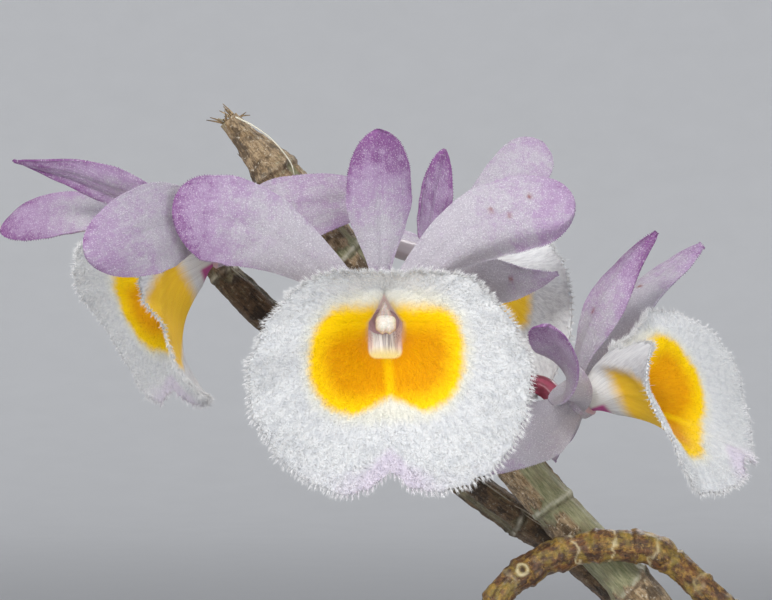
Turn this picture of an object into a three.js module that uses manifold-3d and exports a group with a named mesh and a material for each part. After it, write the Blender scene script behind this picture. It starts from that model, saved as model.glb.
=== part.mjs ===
// A potted orchid of the species Dendrobium primulinum, in bloom on a leafless cane.
// Millimetres, +Z up. The origin is the middle of the pot's underside.
// The blooms hang to the left (-X) of the pot, and are looked at from the front (along +Y).
import * as THREE from "three";
import { mergeVertices } from "three/addons/utils/BufferGeometryUtils.js";
import Module from "manifold-3d";

const wasm = await Module();
wasm.setup();

// Driving dimensions
const POT_RIM_RADIUS = 58;
const POT_FOOT_RADIUS = 40;
const POT_HEIGHT = 104;
const POT_WALL = 5.5;
const POT_FLOOR = 7;
const POT_BAND_HEIGHT = 22;
const POT_BAND_PROUD = 3.5;
const POT_LIP_ROUND = 1.6;
const POT_SIDES = 40;
const DRAIN_HOLES = 4;
const DRAIN_RADIUS = 6;
const DRAIN_RING = 21;

const SEAT_GAP = 0.35;
const BARK_LEVEL = 88;
const BARK_CHIPS = 28;
const CHIP_LENGTH = 20;

// Each cane's route runs from its tip down to its foot in the rhizome.
const CANE_RADIUS = 3.5;
const CANE_NODE_PITCH = 17.4;
const CANE_FIRST_NODE = 11.2;
const CANE_ROUTE = [
  [-119.2, 5, 305],
  [-112.6, 5, 297.5],
  [-91.8, 5, 272.5],
  [-68.7, 5, 244.8],
  [-52.8, 4.6, 227.9],
  [-30, 4.2, 197],
  [-12, 3.8, 162],
  [0, 3.4, 125],
  [5.4, 3, 100],
  [6.2, 3, 87.5],
];
const BACK_CANE_RADIUS = 2.6;
const BACK_CANE_ROUTE = [
  [-125.6, 21, 285.2],
  [-120.3, 21, 279.8],
  [-108.1, 21, 268.6],
  [-91.7, 20, 255],
  [-78.6, 19, 244.5],
  [-57.4, 17.5, 229.4],
  [-32, 16.5, 199],
  [-8, 15.5, 160],
  [9, 14.5, 122],
  [15.4, 14, 100],
  [16.4, 14, 87.5],
];
const OLD_CANE_RADIUS = 2.5;
const OLD_CANE_ROUTE = [
  [-78.2, -5.2, 225],
  [-75.4, -4.2, 230.2],
  [-70.7, -3.4, 233.7],
  [-67.4, -3, 235.4],
  [-62, -2.8, 236.8],
  [-55, -2.8, 237],
  [-51.4, -3, 236.2],
  [-44.5, -3.6, 231.1],
  [-33, -5.5, 219],
  [-20, -9, 194],
  [-8, -12.5, 158],
  [0, -14.6, 120],
  [2.4, -15, 98],
  [2.6, -15, 87.5],
];

const LIP_WALL = 0.7;
const LIP_TUBE_HALF_WIDTH = 2.9;
const LIP_THROAT_HALF_WIDTH = 2.9;
const LIP_TUBE_TALLER = 0.5;
const LIP_THROAT_TALLER = 1.9;
// How deep the throat is at its sides, and how much less at its top and bottom.
const LIP_THROAT_AT = 7;
const LIP_THROAT_NEARER = 4;
const LIP_MOUTH_AT = 15;
const LIP_NOTCH = 3.4;
const LIP_NOTCH_WIDTH = 0.12;
// The lip's reach from the throat, every 20 degrees from its lowest point round to its top.
const LIP_REACH = [27.2, 28, 27.8, 25.3, 21.6, 17.6, 14.3, 10.9, 8.9, 8.3];
const TRUMPET_TURN = 6;
const TRUMPET_SLOPE = 0.14;
const LIP_BEND = 10;

const HUB_RADIUS = 3.6;
const BLADE_THICKNESS = 0.8;
const BLADE_CELLS_ACROSS = 4;
const BLADE_CELLS_ALONG = 7;
const TWIST_FROM = 0.12; // a twisted blade turns from here along its length
const TWIST_SPAN = 0.7; // and is fully turned this much further along
const SEPAL_WIDTH = 10;
const PETAL_WIDTH = 12.5;
const COLUMN_RADIUS = 1.45;
const COLUMN_LENGTH = 8.6;
const PEDICEL_RADIUS = 1.15;

const RHIZOME_RADIUS = 5.2;
const RHIZOME_ROUTE = [
  [20, 20, 87],
  [16.4, 14, 89.5],
  [11, 8, 90],
  [6.2, 3, 90],
  [3.4, -6, 90],
  [2.6, -15, 89.5],
  [0, -21, 87],
];
const ROOT_COUNT = 7;
const ROOT_RADIUS = 1.9;
const ROOT_SPREAD = 34;

const UP = new THREE.Vector3(0, 0, 1);
const RADIANS = Math.PI / 180;
const vec = (x, y, z) => new THREE.Vector3(x, y, z);
const vecs = (list) => list.map(([x, y, z]) => vec(x, y, z));
const lerp = THREE.MathUtils.lerp;
const smooth = (x) => THREE.MathUtils.smoothstep(x, 0, 1);

// A small seeded random source, so that the bark falls the same way each time.
function seeded(seed) {
  let state = seed;
  return () => {
    state = (state * 1664525 + 1013904223) % 4294967296;
    return state / 4294967296;
  };
}

// Solids and meshes
function solidOf(geometry) {
  const bare = geometry.clone();
  bare.deleteAttribute("normal");
  bare.deleteAttribute("uv");
  const merged = mergeVertices(bare, 1e-4);
  return new wasm.Manifold(
    new wasm.Mesh({
      numProp: 3,
      vertProperties: merged.attributes.position.array,
      triVerts: new Uint32Array(merged.index.array),
    }),
  );
}

function geometryOf(solid) {
  const mesh = solid.getMesh();
  const geometry = new THREE.BufferGeometry();
  geometry.setAttribute("position", new THREE.BufferAttribute(mesh.vertProperties, 3));
  geometry.setIndex(new THREE.BufferAttribute(mesh.triVerts, 1));
  geometry.computeVertexNormals();
  return geometry;
}

const biggestPiece = (solid) =>
  solid.decompose().reduce((best, piece) => (piece.volume() > best.volume() ? piece : best));

const fused = (solids) => solids.reduce((whole, solid) => whole.add(solid));

const material = (color, roughness, metalness = 0) =>
  new THREE.MeshStandardMaterial({ color, roughness, metalness });

function piece(name, solid, finish) {
  const mesh = new THREE.Mesh(geometryOf(biggestPiece(solid)), finish);
  mesh.name = name;
  return mesh;
}

// A sheet given by a function of two numbers from 0 to 1, as a closed solid. The first number may
// run round a ring, and then the sheet is a tube with a wall.
function sheetSolid(pointAt, acrossCells, alongCells, thickness, ring = false) {
  const rows = alongCells + 1;
  const columns = ring ? acrossCells : acrossCells + 1;
  const nudge = 1e-3;
  const positions = [];
  for (const side of [0.5, -0.5]) {
    for (let j = 0; j < rows; j++) {
      for (let i = 0; i < columns; i++) {
        const u = i / acrossCells;
        const v = j / alongCells;
        const alongU = pointAt(u + nudge, v).sub(pointAt(u - nudge, v));
        const vHigh = Math.min(1, v + nudge);
        const vLow = Math.max(0, v - nudge);
        const alongV = pointAt(u, vHigh).sub(pointAt(u, vLow));
        const normal = alongU.cross(alongV).normalize();
        const p = pointAt(u, v).addScaledVector(normal, side * thickness);
        positions.push(p.x, p.y, p.z);
      }
    }
  }
  const faceSize = rows * columns;
  const at = (face, i, j) => face * faceSize + j * columns + (i % columns);
  const faces = [];
  const quad = (a, b, c, d) => faces.push(a, b, c, a, c, d);
  for (let j = 0; j < alongCells; j++) {
    for (let i = 0; i < acrossCells; i++) {
      quad(at(0, i, j), at(0, i + 1, j), at(0, i + 1, j + 1), at(0, i, j + 1));
      faces.push(at(1, i, j), at(1, i + 1, j + 1), at(1, i + 1, j));
      faces.push(at(1, i, j), at(1, i, j + 1), at(1, i + 1, j + 1));
    }
  }
  for (let i = 0; i < acrossCells; i++) {
    quad(at(1, i, 0), at(1, i + 1, 0), at(0, i + 1, 0), at(0, i, 0));
    quad(at(0, i, alongCells), at(0, i + 1, alongCells), at(1, i + 1, alongCells), at(1, i, alongCells));
  }
  if (!ring) {
    for (let j = 0; j < alongCells; j++) {
      quad(at(0, 0, j), at(0, 0, j + 1), at(1, 0, j + 1), at(1, 0, j));
      const i = acrossCells;
      quad(at(1, i, j), at(1, i, j + 1), at(0, i, j + 1), at(0, i, j));
    }
  }
  const geometry = new THREE.BufferGeometry();
  geometry.setAttribute("position", new THREE.Float32BufferAttribute(positions, 3));
  geometry.setIndex(faces);
  return solidOf(geometry);
}

// A stem along a path, with its own radius at each step and a closed end at both ends.
function stemSolid(points, radii, sides) {
  const positions = [];
  const faces = [];
  let across = vec(0, 1, 0);
  points.forEach((point, k) => {
    const before = points[Math.max(0, k - 1)];
    const after = points[Math.min(points.length - 1, k + 1)];
    const tangent = after.clone().sub(before).normalize();
    across = across.clone().addScaledVector(tangent, -across.dot(tangent)).normalize();
    const other = tangent.clone().cross(across);
    for (let i = 0; i < sides; i++) {
      const angle = (2 * Math.PI * i) / sides;
      const p = point
        .clone()
        .addScaledVector(across, radii[k] * Math.cos(angle))
        .addScaledVector(other, radii[k] * Math.sin(angle));
      positions.push(p.x, p.y, p.z);
    }
  });
  const ringAt = (k, i) => k * sides + (i % sides);
  for (let k = 0; k < points.length - 1; k++) {
    for (let i = 0; i < sides; i++) {
      faces.push(ringAt(k, i), ringAt(k, i + 1), ringAt(k + 1, i + 1));
      faces.push(ringAt(k, i), ringAt(k + 1, i + 1), ringAt(k + 1, i));
    }
  }
  const last = points.length - 1;
  for (let i = 1; i < sides - 1; i++) {
    faces.push(ringAt(0, 0), ringAt(0, i + 1), ringAt(0, i));
    faces.push(ringAt(last, 0), ringAt(last, i), ringAt(last, i + 1));
  }
  const geometry = new THREE.BufferGeometry();
  geometry.setAttribute("position", new THREE.Float32BufferAttribute(positions, 3));
  geometry.setIndex(faces);
  return solidOf(geometry);
}

// A stem grown by a margin all round and at both ends.
function grownStem(points, radii, sides, extra) {
  const last = points.length - 1;
  const stretch = (end, inner) => end.clone().addScaledVector(end.clone().sub(inner).normalize(), extra);
  const start = stretch(points[0], points[1]);
  const end = stretch(points[last], points[last - 1]);
  return stemSolid([start, ...points.slice(1, last), end], radii.map((r) => r + extra), sides);
}

// The pot: a plain tapered clay pot with a band at its rim and drain holes round its middle.
function potSolid() {
  const bandOuter = POT_RIM_RADIUS;
  const wallTop = bandOuter - POT_BAND_PROUD;
  const bandFoot = POT_HEIGHT - POT_BAND_HEIGHT;
  const innerTop = bandOuter - POT_BAND_PROUD - POT_WALL + 1.5;
  const outline = [
    [0, 0],
    [POT_FOOT_RADIUS - 1.5, 0],
    [POT_FOOT_RADIUS, 1.5],
    [wallTop - 1, bandFoot - 0.5],
    [bandOuter - 0.6, bandFoot + 0.6],
    [bandOuter, bandFoot + 2.2],
    [bandOuter, POT_HEIGHT - POT_LIP_ROUND],
    [bandOuter - POT_LIP_ROUND, POT_HEIGHT],
    [innerTop + POT_LIP_ROUND, POT_HEIGHT],
    [innerTop, POT_HEIGHT - POT_LIP_ROUND],
    [potInnerRadius(POT_FLOOR + 3), POT_FLOOR + 3],
    [potInnerRadius(POT_FLOOR + 3) - 4, POT_FLOOR],
    [0, POT_FLOOR],
  ].map(([r, z]) => new THREE.Vector2(r, z));
  const pot = new THREE.LatheGeometry(outline, POT_SIDES).rotateX(Math.PI / 2);
  let solid = solidOf(pot);
  for (let k = 0; k < DRAIN_HOLES; k++) {
    const angle = (2 * Math.PI * (k + 0.5)) / DRAIN_HOLES;
    const hole = new THREE.CylinderGeometry(DRAIN_RADIUS, DRAIN_RADIUS, 4 * POT_FLOOR, 12);
    hole.rotateX(Math.PI / 2).translate(DRAIN_RING * Math.cos(angle), DRAIN_RING * Math.sin(angle), 0);
    solid = solid.subtract(solidOf(hole));
  }
  return solid;
}

function potInnerRadius(z) {
  const innerTop = POT_RIM_RADIUS - POT_BAND_PROUD - POT_WALL + 1.5;
  const innerFoot = POT_FOOT_RADIUS - POT_WALL;
  return lerp(innerFoot, innerTop, z / POT_HEIGHT);
}

// A cane swells to a ring at each node, and narrows toward its tip and toward its foot.
function caneOf({ route, radius, firstNode, pitch, ring, tip, foot, between = true }) {
  const curve = new THREE.CatmullRomCurve3(vecs(route), false, "centripetal");
  curve.arcLengthDivisions = 400;
  const total = curve.getLength();
  const stations = [[0, 0.8]];
  for (let s = firstNode; s < total - 4; s += pitch) {
    if (between) stations.push([s - 1.5, 1]);
    stations.push([s, ring]);
    if (between) stations.push([s + 1.2, 1]);
    stations.push([s + pitch / 2, 0.97]);
  }
  const kept = stations.filter(([s]) => s < total - 2);
  kept.push([total, 1]);
  const radii = kept.map(([s, share]) => {
    const tipShare = lerp(tip, 1, smooth(s / 13));
    const footShare = lerp(1, foot, smooth((s - total + 60) / 60));
    return radius * share * tipShare * footShare;
  });
  const points = kept.map(([s]) => curve.getPointAt(s / total));
  return { points, radii, total, at: (s) => curve.getPointAt(s / total) };
}

const mainCane = caneOf({
  route: CANE_ROUTE,
  radius: CANE_RADIUS,
  firstNode: CANE_FIRST_NODE,
  pitch: CANE_NODE_PITCH,
  ring: 1.1,
  tip: 0.5,
  foot: 0.74,
});
const backCane = caneOf({
  route: BACK_CANE_ROUTE,
  radius: BACK_CANE_RADIUS,
  firstNode: 7,
  pitch: 21,
  ring: 1.12,
  tip: 0.6,
  foot: 0.85,
});
const oldCane = caneOf({
  route: OLD_CANE_ROUTE,
  radius: OLD_CANE_RADIUS,
  firstNode: 4,
  pitch: 6.2,
  ring: 1.1,
  tip: 0.8,
  foot: 0.9,
  between: false,
});

// The same cane grown by a margin cuts the hole that it stands in.
const caneHole = ({ points, radii }, extra) => grownStem(points, radii.map((r) => r * 1.03), 12, extra);

// Frayed fibres at the cane's dry tip.
function tipFibres() {
  const tip = vec(...CANE_ROUTE[0]);
  const ends = vecs([
    [-3, -0.4, -0.5],
    [-0.7, 0.5, 1.7],
    [0.6, -0.6, 1.5],
    [1.6, 0.3, 0.7],
  ]);
  return ends.map((end) => {
    const foot = tip.clone().add(vec(1.1, 0, -1.3));
    const bend = tip.clone().addScaledVector(end, 0.5).add(vec(0.2, 0, 0.4));
    return stemSolid([foot, bend, tip.clone().add(end)], [0.75, 0.5, 0.32], 4);
  });
}

const floweringCaneSolid = () => fused([stemSolid(mainCane.points, mainCane.radii, 8), ...tipFibres()]);

// The rhizome creeps over the bark and carries the canes. Roots run out from it and dive in.
function rootsSolid(extra) {
  const random = seeded(11);
  const curve = new THREE.CatmullRomCurve3(vecs(RHIZOME_ROUTE), false, "centripetal");
  const points = curve.getPoints(12);
  const radii = points.map((_, k) => {
    const end = k === 0 || k === 12 ? 0.6 : 1;
    return RHIZOME_RADIUS * end * (1 + 0.06 * Math.cos(k * 2.1));
  });
  const solids = [grownStem(points, radii, 9, extra)];
  for (let k = 0; k < ROOT_COUNT; k++) {
    const heading = (2 * Math.PI * (k + 0.5 * random())) / ROOT_COUNT;
    const start = curve.getPoint(0.5 - 0.42 * Math.sin(heading));
    const end = vec(ROOT_SPREAD * Math.cos(heading), ROOT_SPREAD * Math.sin(heading), 0);
    const sideways = end.clone().sub(start).setZ(0).cross(UP).multiplyScalar(0.3 * (random() - 0.5));
    const route = [];
    for (let j = 0; j <= 5; j++) {
      const point = start.clone().lerp(end, j / 5).addScaledVector(sideways, Math.sin((Math.PI * j) / 5));
      route.push(point.setZ([89.5, 92.6, 93, 92.4, 90, 83][j]));
    }
    const path = new THREE.CatmullRomCurve3(route, false, "centripetal").getPoints(8);
    solids.push(grownStem(path, path.map((_, j) => ROOT_RADIUS * lerp(1, 0.75, j / 8)), 5, extra));
  }
  return fused(solids);
}

const caneHoles = (extra) => fused([mainCane, backCane, oldCane].map((cane) => caneHole(cane, extra)));

// The bark: a packed body that fills the pot, with loose-looking chips sunk into its top.
function barkSolid() {
  const low = POT_FLOOR + 0.5;
  const inset = SEAT_GAP + 0.15;
  const body = new THREE.LatheGeometry(
    [
      [0, low],
      [potInnerRadius(POT_FLOOR + 3) - 4.4, low],
      [potInnerRadius(POT_FLOOR + 3) - inset, POT_FLOOR + 3.6],
      [potInnerRadius(BARK_LEVEL - 4) - inset, BARK_LEVEL - 4],
      [potInnerRadius(BARK_LEVEL) - 4, BARK_LEVEL],
      [0, BARK_LEVEL + 0.5],
    ].map(([r, z]) => new THREE.Vector2(r, z)),
    28,
  ).rotateX(Math.PI / 2);
  const random = seeded(5);
  const chips = [];
  const golden = Math.PI * (3 - Math.sqrt(5));
  const reach = potInnerRadius(BARK_LEVEL) - 9.5;
  for (let k = 0; k < BARK_CHIPS; k++) {
    const r = reach * Math.sqrt((k + 0.5) / BARK_CHIPS);
    const long = CHIP_LENGTH * (0.65 + 0.5 * random());
    const chip = new THREE.BoxGeometry(long, long * (0.5 + 0.25 * random()), 4 + 3 * random());
    const corners = chip.attributes.position;
    const pinch = seeded(100 + k);
    const shifts = new Map();
    for (let i = 0; i < corners.count; i++) {
      const key = [corners.getX(i) > 0, corners.getY(i) > 0, corners.getZ(i) > 0].join();
      if (!shifts.has(key)) shifts.set(key, [pinch(), pinch(), pinch()].map((x) => 0.72 + 0.35 * x));
      const [a, b, c] = shifts.get(key);
      corners.setXYZ(i, corners.getX(i) * a, corners.getY(i) * b, corners.getZ(i) * c);
    }
    chip.rotateX((random() - 0.5) * 0.7).rotateY((random() - 0.5) * 0.7).rotateZ(random() * Math.PI);
    const angle = k * golden;
    chip.translate(r * Math.cos(angle), r * Math.sin(angle), BARK_LEVEL + 0.6 + 2.4 * random());
    chips.push(solidOf(chip));
  }
  const bore = new THREE.LatheGeometry(
    [
      [0, 0],
      [potInnerRadius(0) - inset, 0],
      [potInnerRadius(POT_HEIGHT) - inset, POT_HEIGHT],
      [0, POT_HEIGHT],
    ].map(([r, z]) => new THREE.Vector2(r, z)),
    POT_SIDES,
  ).rotateX(Math.PI / 2);
  const heap = fused([solidOf(body), ...chips]).intersect(solidOf(bore));
  return heap.subtract(rootsSolid(SEAT_GAP)).subtract(caneHoles(SEAT_GAP));
}

// A bloom's own directions: forward out of its mouth, up to its dorsal sepal, and right.
function bloomAxes({ turn, rise, roll }) {
  const forward = vec(
    Math.sin(turn * RADIANS) * Math.cos(rise * RADIANS),
    -Math.cos(turn * RADIANS) * Math.cos(rise * RADIANS),
    Math.sin(rise * RADIANS),
  );
  const up = UP.clone().addScaledVector(forward, -forward.z).normalize();
  up.applyAxisAngle(forward, roll * RADIANS);
  const right = up.clone().cross(forward);
  return { forward, up, right };
}

// The lip: rolled to a tube round the column, then flared to a broad disc with a notch at its foot.
function lipReach(angle) {
  const turn = Math.min(Math.abs(angle) / (20 * RADIANS), 8.999);
  const k = Math.floor(turn);
  const at = (i) => LIP_REACH[i < 0 ? -i : i > 9 ? 18 - i : i];
  const [a, b, c, d, x] = [at(k - 1), at(k), at(k + 1), at(k + 2), turn - k];
  const smoothReach = b + 0.5 * x * (c - a + x * (2 * a - 5 * b + 4 * c - d + x * (3 * (b - c) + d - a)));
  return smoothReach - LIP_NOTCH * Math.exp(-((angle / LIP_NOTCH_WIDTH) ** 2));
}

// A sum of waves round the lip's mouth: the shares of cos and sin of one turn, then of two, then of three.
function wavesRound(shares, angle) {
  let sum = 0;
  shares.forEach((share, i) => {
    const turned = (Math.floor(i / 2) + 1) * angle;
    sum += share * (i % 2 === 0 ? Math.cos(turned) : Math.sin(turned));
  });
  return sum;
}

// A lip's trim is how its reach differs from the common one, and its bend is how far its rim comes forward.
function lipPoint(bloom, u, v) {
  const angle = (2 * u - 1) * Math.PI;
  const tall = Math.cos(angle) ** 2;
  const tubeShare = 0.24;
  const throat = LIP_THROAT_HALF_WIDTH + LIP_THROAT_TALLER * tall;
  const throatAt = LIP_THROAT_AT - LIP_THROAT_NEARER * tall;
  let out;
  let ahead;
  if (v < tubeShare) {
    const k = v / tubeShare;
    out = lerp(LIP_TUBE_HALF_WIDTH + LIP_TUBE_TALLER * tall, throat, k);
    ahead = throatAt * k;
  } else {
    const k = (v - tubeShare) / (1 - tubeShare);
    const reach = lipReach(angle) * (1 + wavesRound(bloom.trim, angle));
    const flare = (reach - throat) * k;
    out = throat + flare;
    ahead = lerp(throatAt, LIP_MOUTH_AT, 1 - Math.exp(-flare / TRUMPET_TURN)) + TRUMPET_SLOPE * flare;
    ahead += LIP_BEND * k * k * wavesRound(bloom.bend, angle);
    ahead += bloom.wave * k ** 3 * Math.sin(5 * angle + bloom.phase);
  }
  const { forward, up, right } = bloom.axes;
  return bloom.hub
    .clone()
    .addScaledVector(right, bloom.size * out * Math.sin(angle))
    .addScaledVector(up, -bloom.size * out * Math.cos(angle))
    .addScaledVector(forward, bloom.size * ahead + SEAT_GAP + LIP_WALL / 2);
}

const lipSolid = (bloom, wall = LIP_WALL) => sheetSolid((u, v) => lipPoint(bloom, u, v), 28, 7, wall, true);

// A petal or sepal's outline widens from its foot to its widest place, then closes to its tip.
// A form is the foot's share of the width, the widest place, the two powers that round the tip,
// and how far up the narrow foot runs before it widens.
const FORMS = {
  petal: [0.34, 0.74, 2.7, 0.5],
  dorsal: [0.36, 0.64, 2, 0.6],
  lateral: [0.55, 0.4, 1.5, 0.8],
};

function halfWidth(form, s) {
  const [foot, widest, tipPower, tipShape, claw = 0] = form;
  if (s < widest) return foot + (1 - foot) * smooth((s - claw) / (widest - claw));
  const close = (s - widest) / (1 - widest);
  return Math.max(0.09, (1 - close ** tipPower) ** tipShape);
}

function bladeSolid(bloom, blade) {
  const { forward } = bloom.axes;
  const tip = vec(...blade.tip);
  const outward = tip.clone().addScaledVector(forward, -tip.dot(forward)).normalize();
  const foot = bloom.hub
    .clone()
    .addScaledVector(outward, bloom.size * 1.7)
    .addScaledVector(forward, -1.9);
  const end = bloom.hub.clone().add(tip);
  const middle = foot.clone().lerp(end, 0.5);
  if (blade.via) middle.copy(bloom.hub).add(vec(...blade.via));
  const face = vec(...blade.face).normalize();
  const width = bloom.size * (blade.kind === "petal" ? PETAL_WIDTH : SEPAL_WIDTH) * (blade.wide ?? 1);
  const form = blade.form ?? FORMS[blade.kind];
  const pointAt = (u, s) => {
    const across = 2 * u - 1;
    const a = foot.clone().multiplyScalar((1 - s) ** 2);
    const p = a.addScaledVector(middle, 2 * s * (1 - s)).addScaledVector(end, s * s);
    const tangent = middle.clone().sub(foot).multiplyScalar(1 - s);
    tangent.addScaledVector(end.clone().sub(middle), s).normalize();
    const twisted = (blade.twist ?? 0) * RADIANS * smooth((s - TWIST_FROM) / TWIST_SPAN);
    const turned = face.clone().applyAxisAngle(tangent, twisted);
    const side = tangent.clone().cross(turned).normalize();
    const normal = side.clone().cross(tangent);
    const half = 0.5 * width * halfWidth(form, s);
    const lift = blade.cup * half * (across * across - 0.3) * smooth(s / 0.3);
    return p.addScaledVector(side, half * across).addScaledVector(normal, lift);
  };
  const cellsAlong = (blade.twist ? 2 : 1) * BLADE_CELLS_ALONG;
  return sheetSolid(pointAt, BLADE_CELLS_ACROSS, cellsAlong, BLADE_THICKNESS);
}

// The sepals and petals stand on one small hub at the end of the ovary.
function hubSolid(bloom) {
  const { forward } = bloom.axes;
  const depths = [-4.2, -3.4, -1.6, 0];
  const radii = [1.6, 2.9, HUB_RADIUS, HUB_RADIUS - 0.3].map((r) => r * bloom.size);
  return stemSolid(depths.map((d) => bloom.hub.clone().addScaledVector(forward, d)), radii, 10);
}

function perianthSolid(bloom) {
  const blades = bloom.blades.map((blade) => bladeSolid(bloom, blade));
  const { forward } = bloom.axes;
  const reach = [SEAT_GAP, LIP_THROAT_AT * bloom.size];
  const tube = reach.map((f) => bloom.hub.clone().addScaledVector(forward, f));
  const tubeHalf = LIP_TUBE_HALF_WIDTH + LIP_TUBE_TALLER;
  const throatHalf = LIP_THROAT_HALF_WIDTH + LIP_THROAT_TALLER;
  const room = [tubeHalf, throatHalf].map((r) => r * bloom.size + LIP_WALL / 2 + SEAT_GAP);
  return fused([hubSolid(bloom), ...blades])
    .subtract(lipSolid(bloom, LIP_WALL + 2 * SEAT_GAP))
    .subtract(stemSolid(tube, room, 16))
    .subtract(pedicelSolid(bloom, SEAT_GAP));
}

// The column: a short rod inside the lip's tube, with a rounded anther cap at its end.
function columnSolid(bloom) {
  const { forward, up } = bloom.axes;
  const stations = [
    [0, 0.95],
    [0.45, 1],
    [0.72, 1.05],
    [0.84, 1.12],
    [0.95, 0.95],
    [1, 0.5],
  ];
  const points = stations.map(([share]) =>
    bloom.hub
      .clone()
      .addScaledVector(forward, SEAT_GAP + share * COLUMN_LENGTH * bloom.size)
      .addScaledVector(up, 0.25 * bloom.size * share),
  );
  return stemSolid(points, stations.map(([, r]) => r * COLUMN_RADIUS * bloom.size), 8);
}

// The flower stalk arches from a node of the cane to the back of the hub, and swells to the ovary.
function pedicelSolid(bloom, extra = 0) {
  const { forward } = bloom.axes;
  const node = mainCane.at(CANE_FIRST_NODE + bloom.node * CANE_NODE_PITCH);
  const end = bloom.hub.clone().addScaledVector(forward, -4.4 - SEAT_GAP);
  const toEnd = end.clone().sub(node);
  const caneWay = mainCane.at(1).sub(mainCane.at(0)).normalize();
  const off = toEnd.clone().addScaledVector(caneWay, -toEnd.dot(caneWay)).normalize();
  const start = node.addScaledVector(off, CANE_RADIUS * 1.2 + SEAT_GAP);
  const control = end.clone().addScaledVector(forward, -5).addScaledVector(UP, bloom.stalkRise);
  const curve = new THREE.CubicBezierCurve3(start, start.clone().addScaledVector(off, 3), control, end);
  const points = curve.getPoints(8);
  const radii = points.map((_, k) => PEDICEL_RADIUS * lerp(1, 1.45, smooth(k / 8)));
  return grownStem(points, radii, 7, extra);
}

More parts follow.
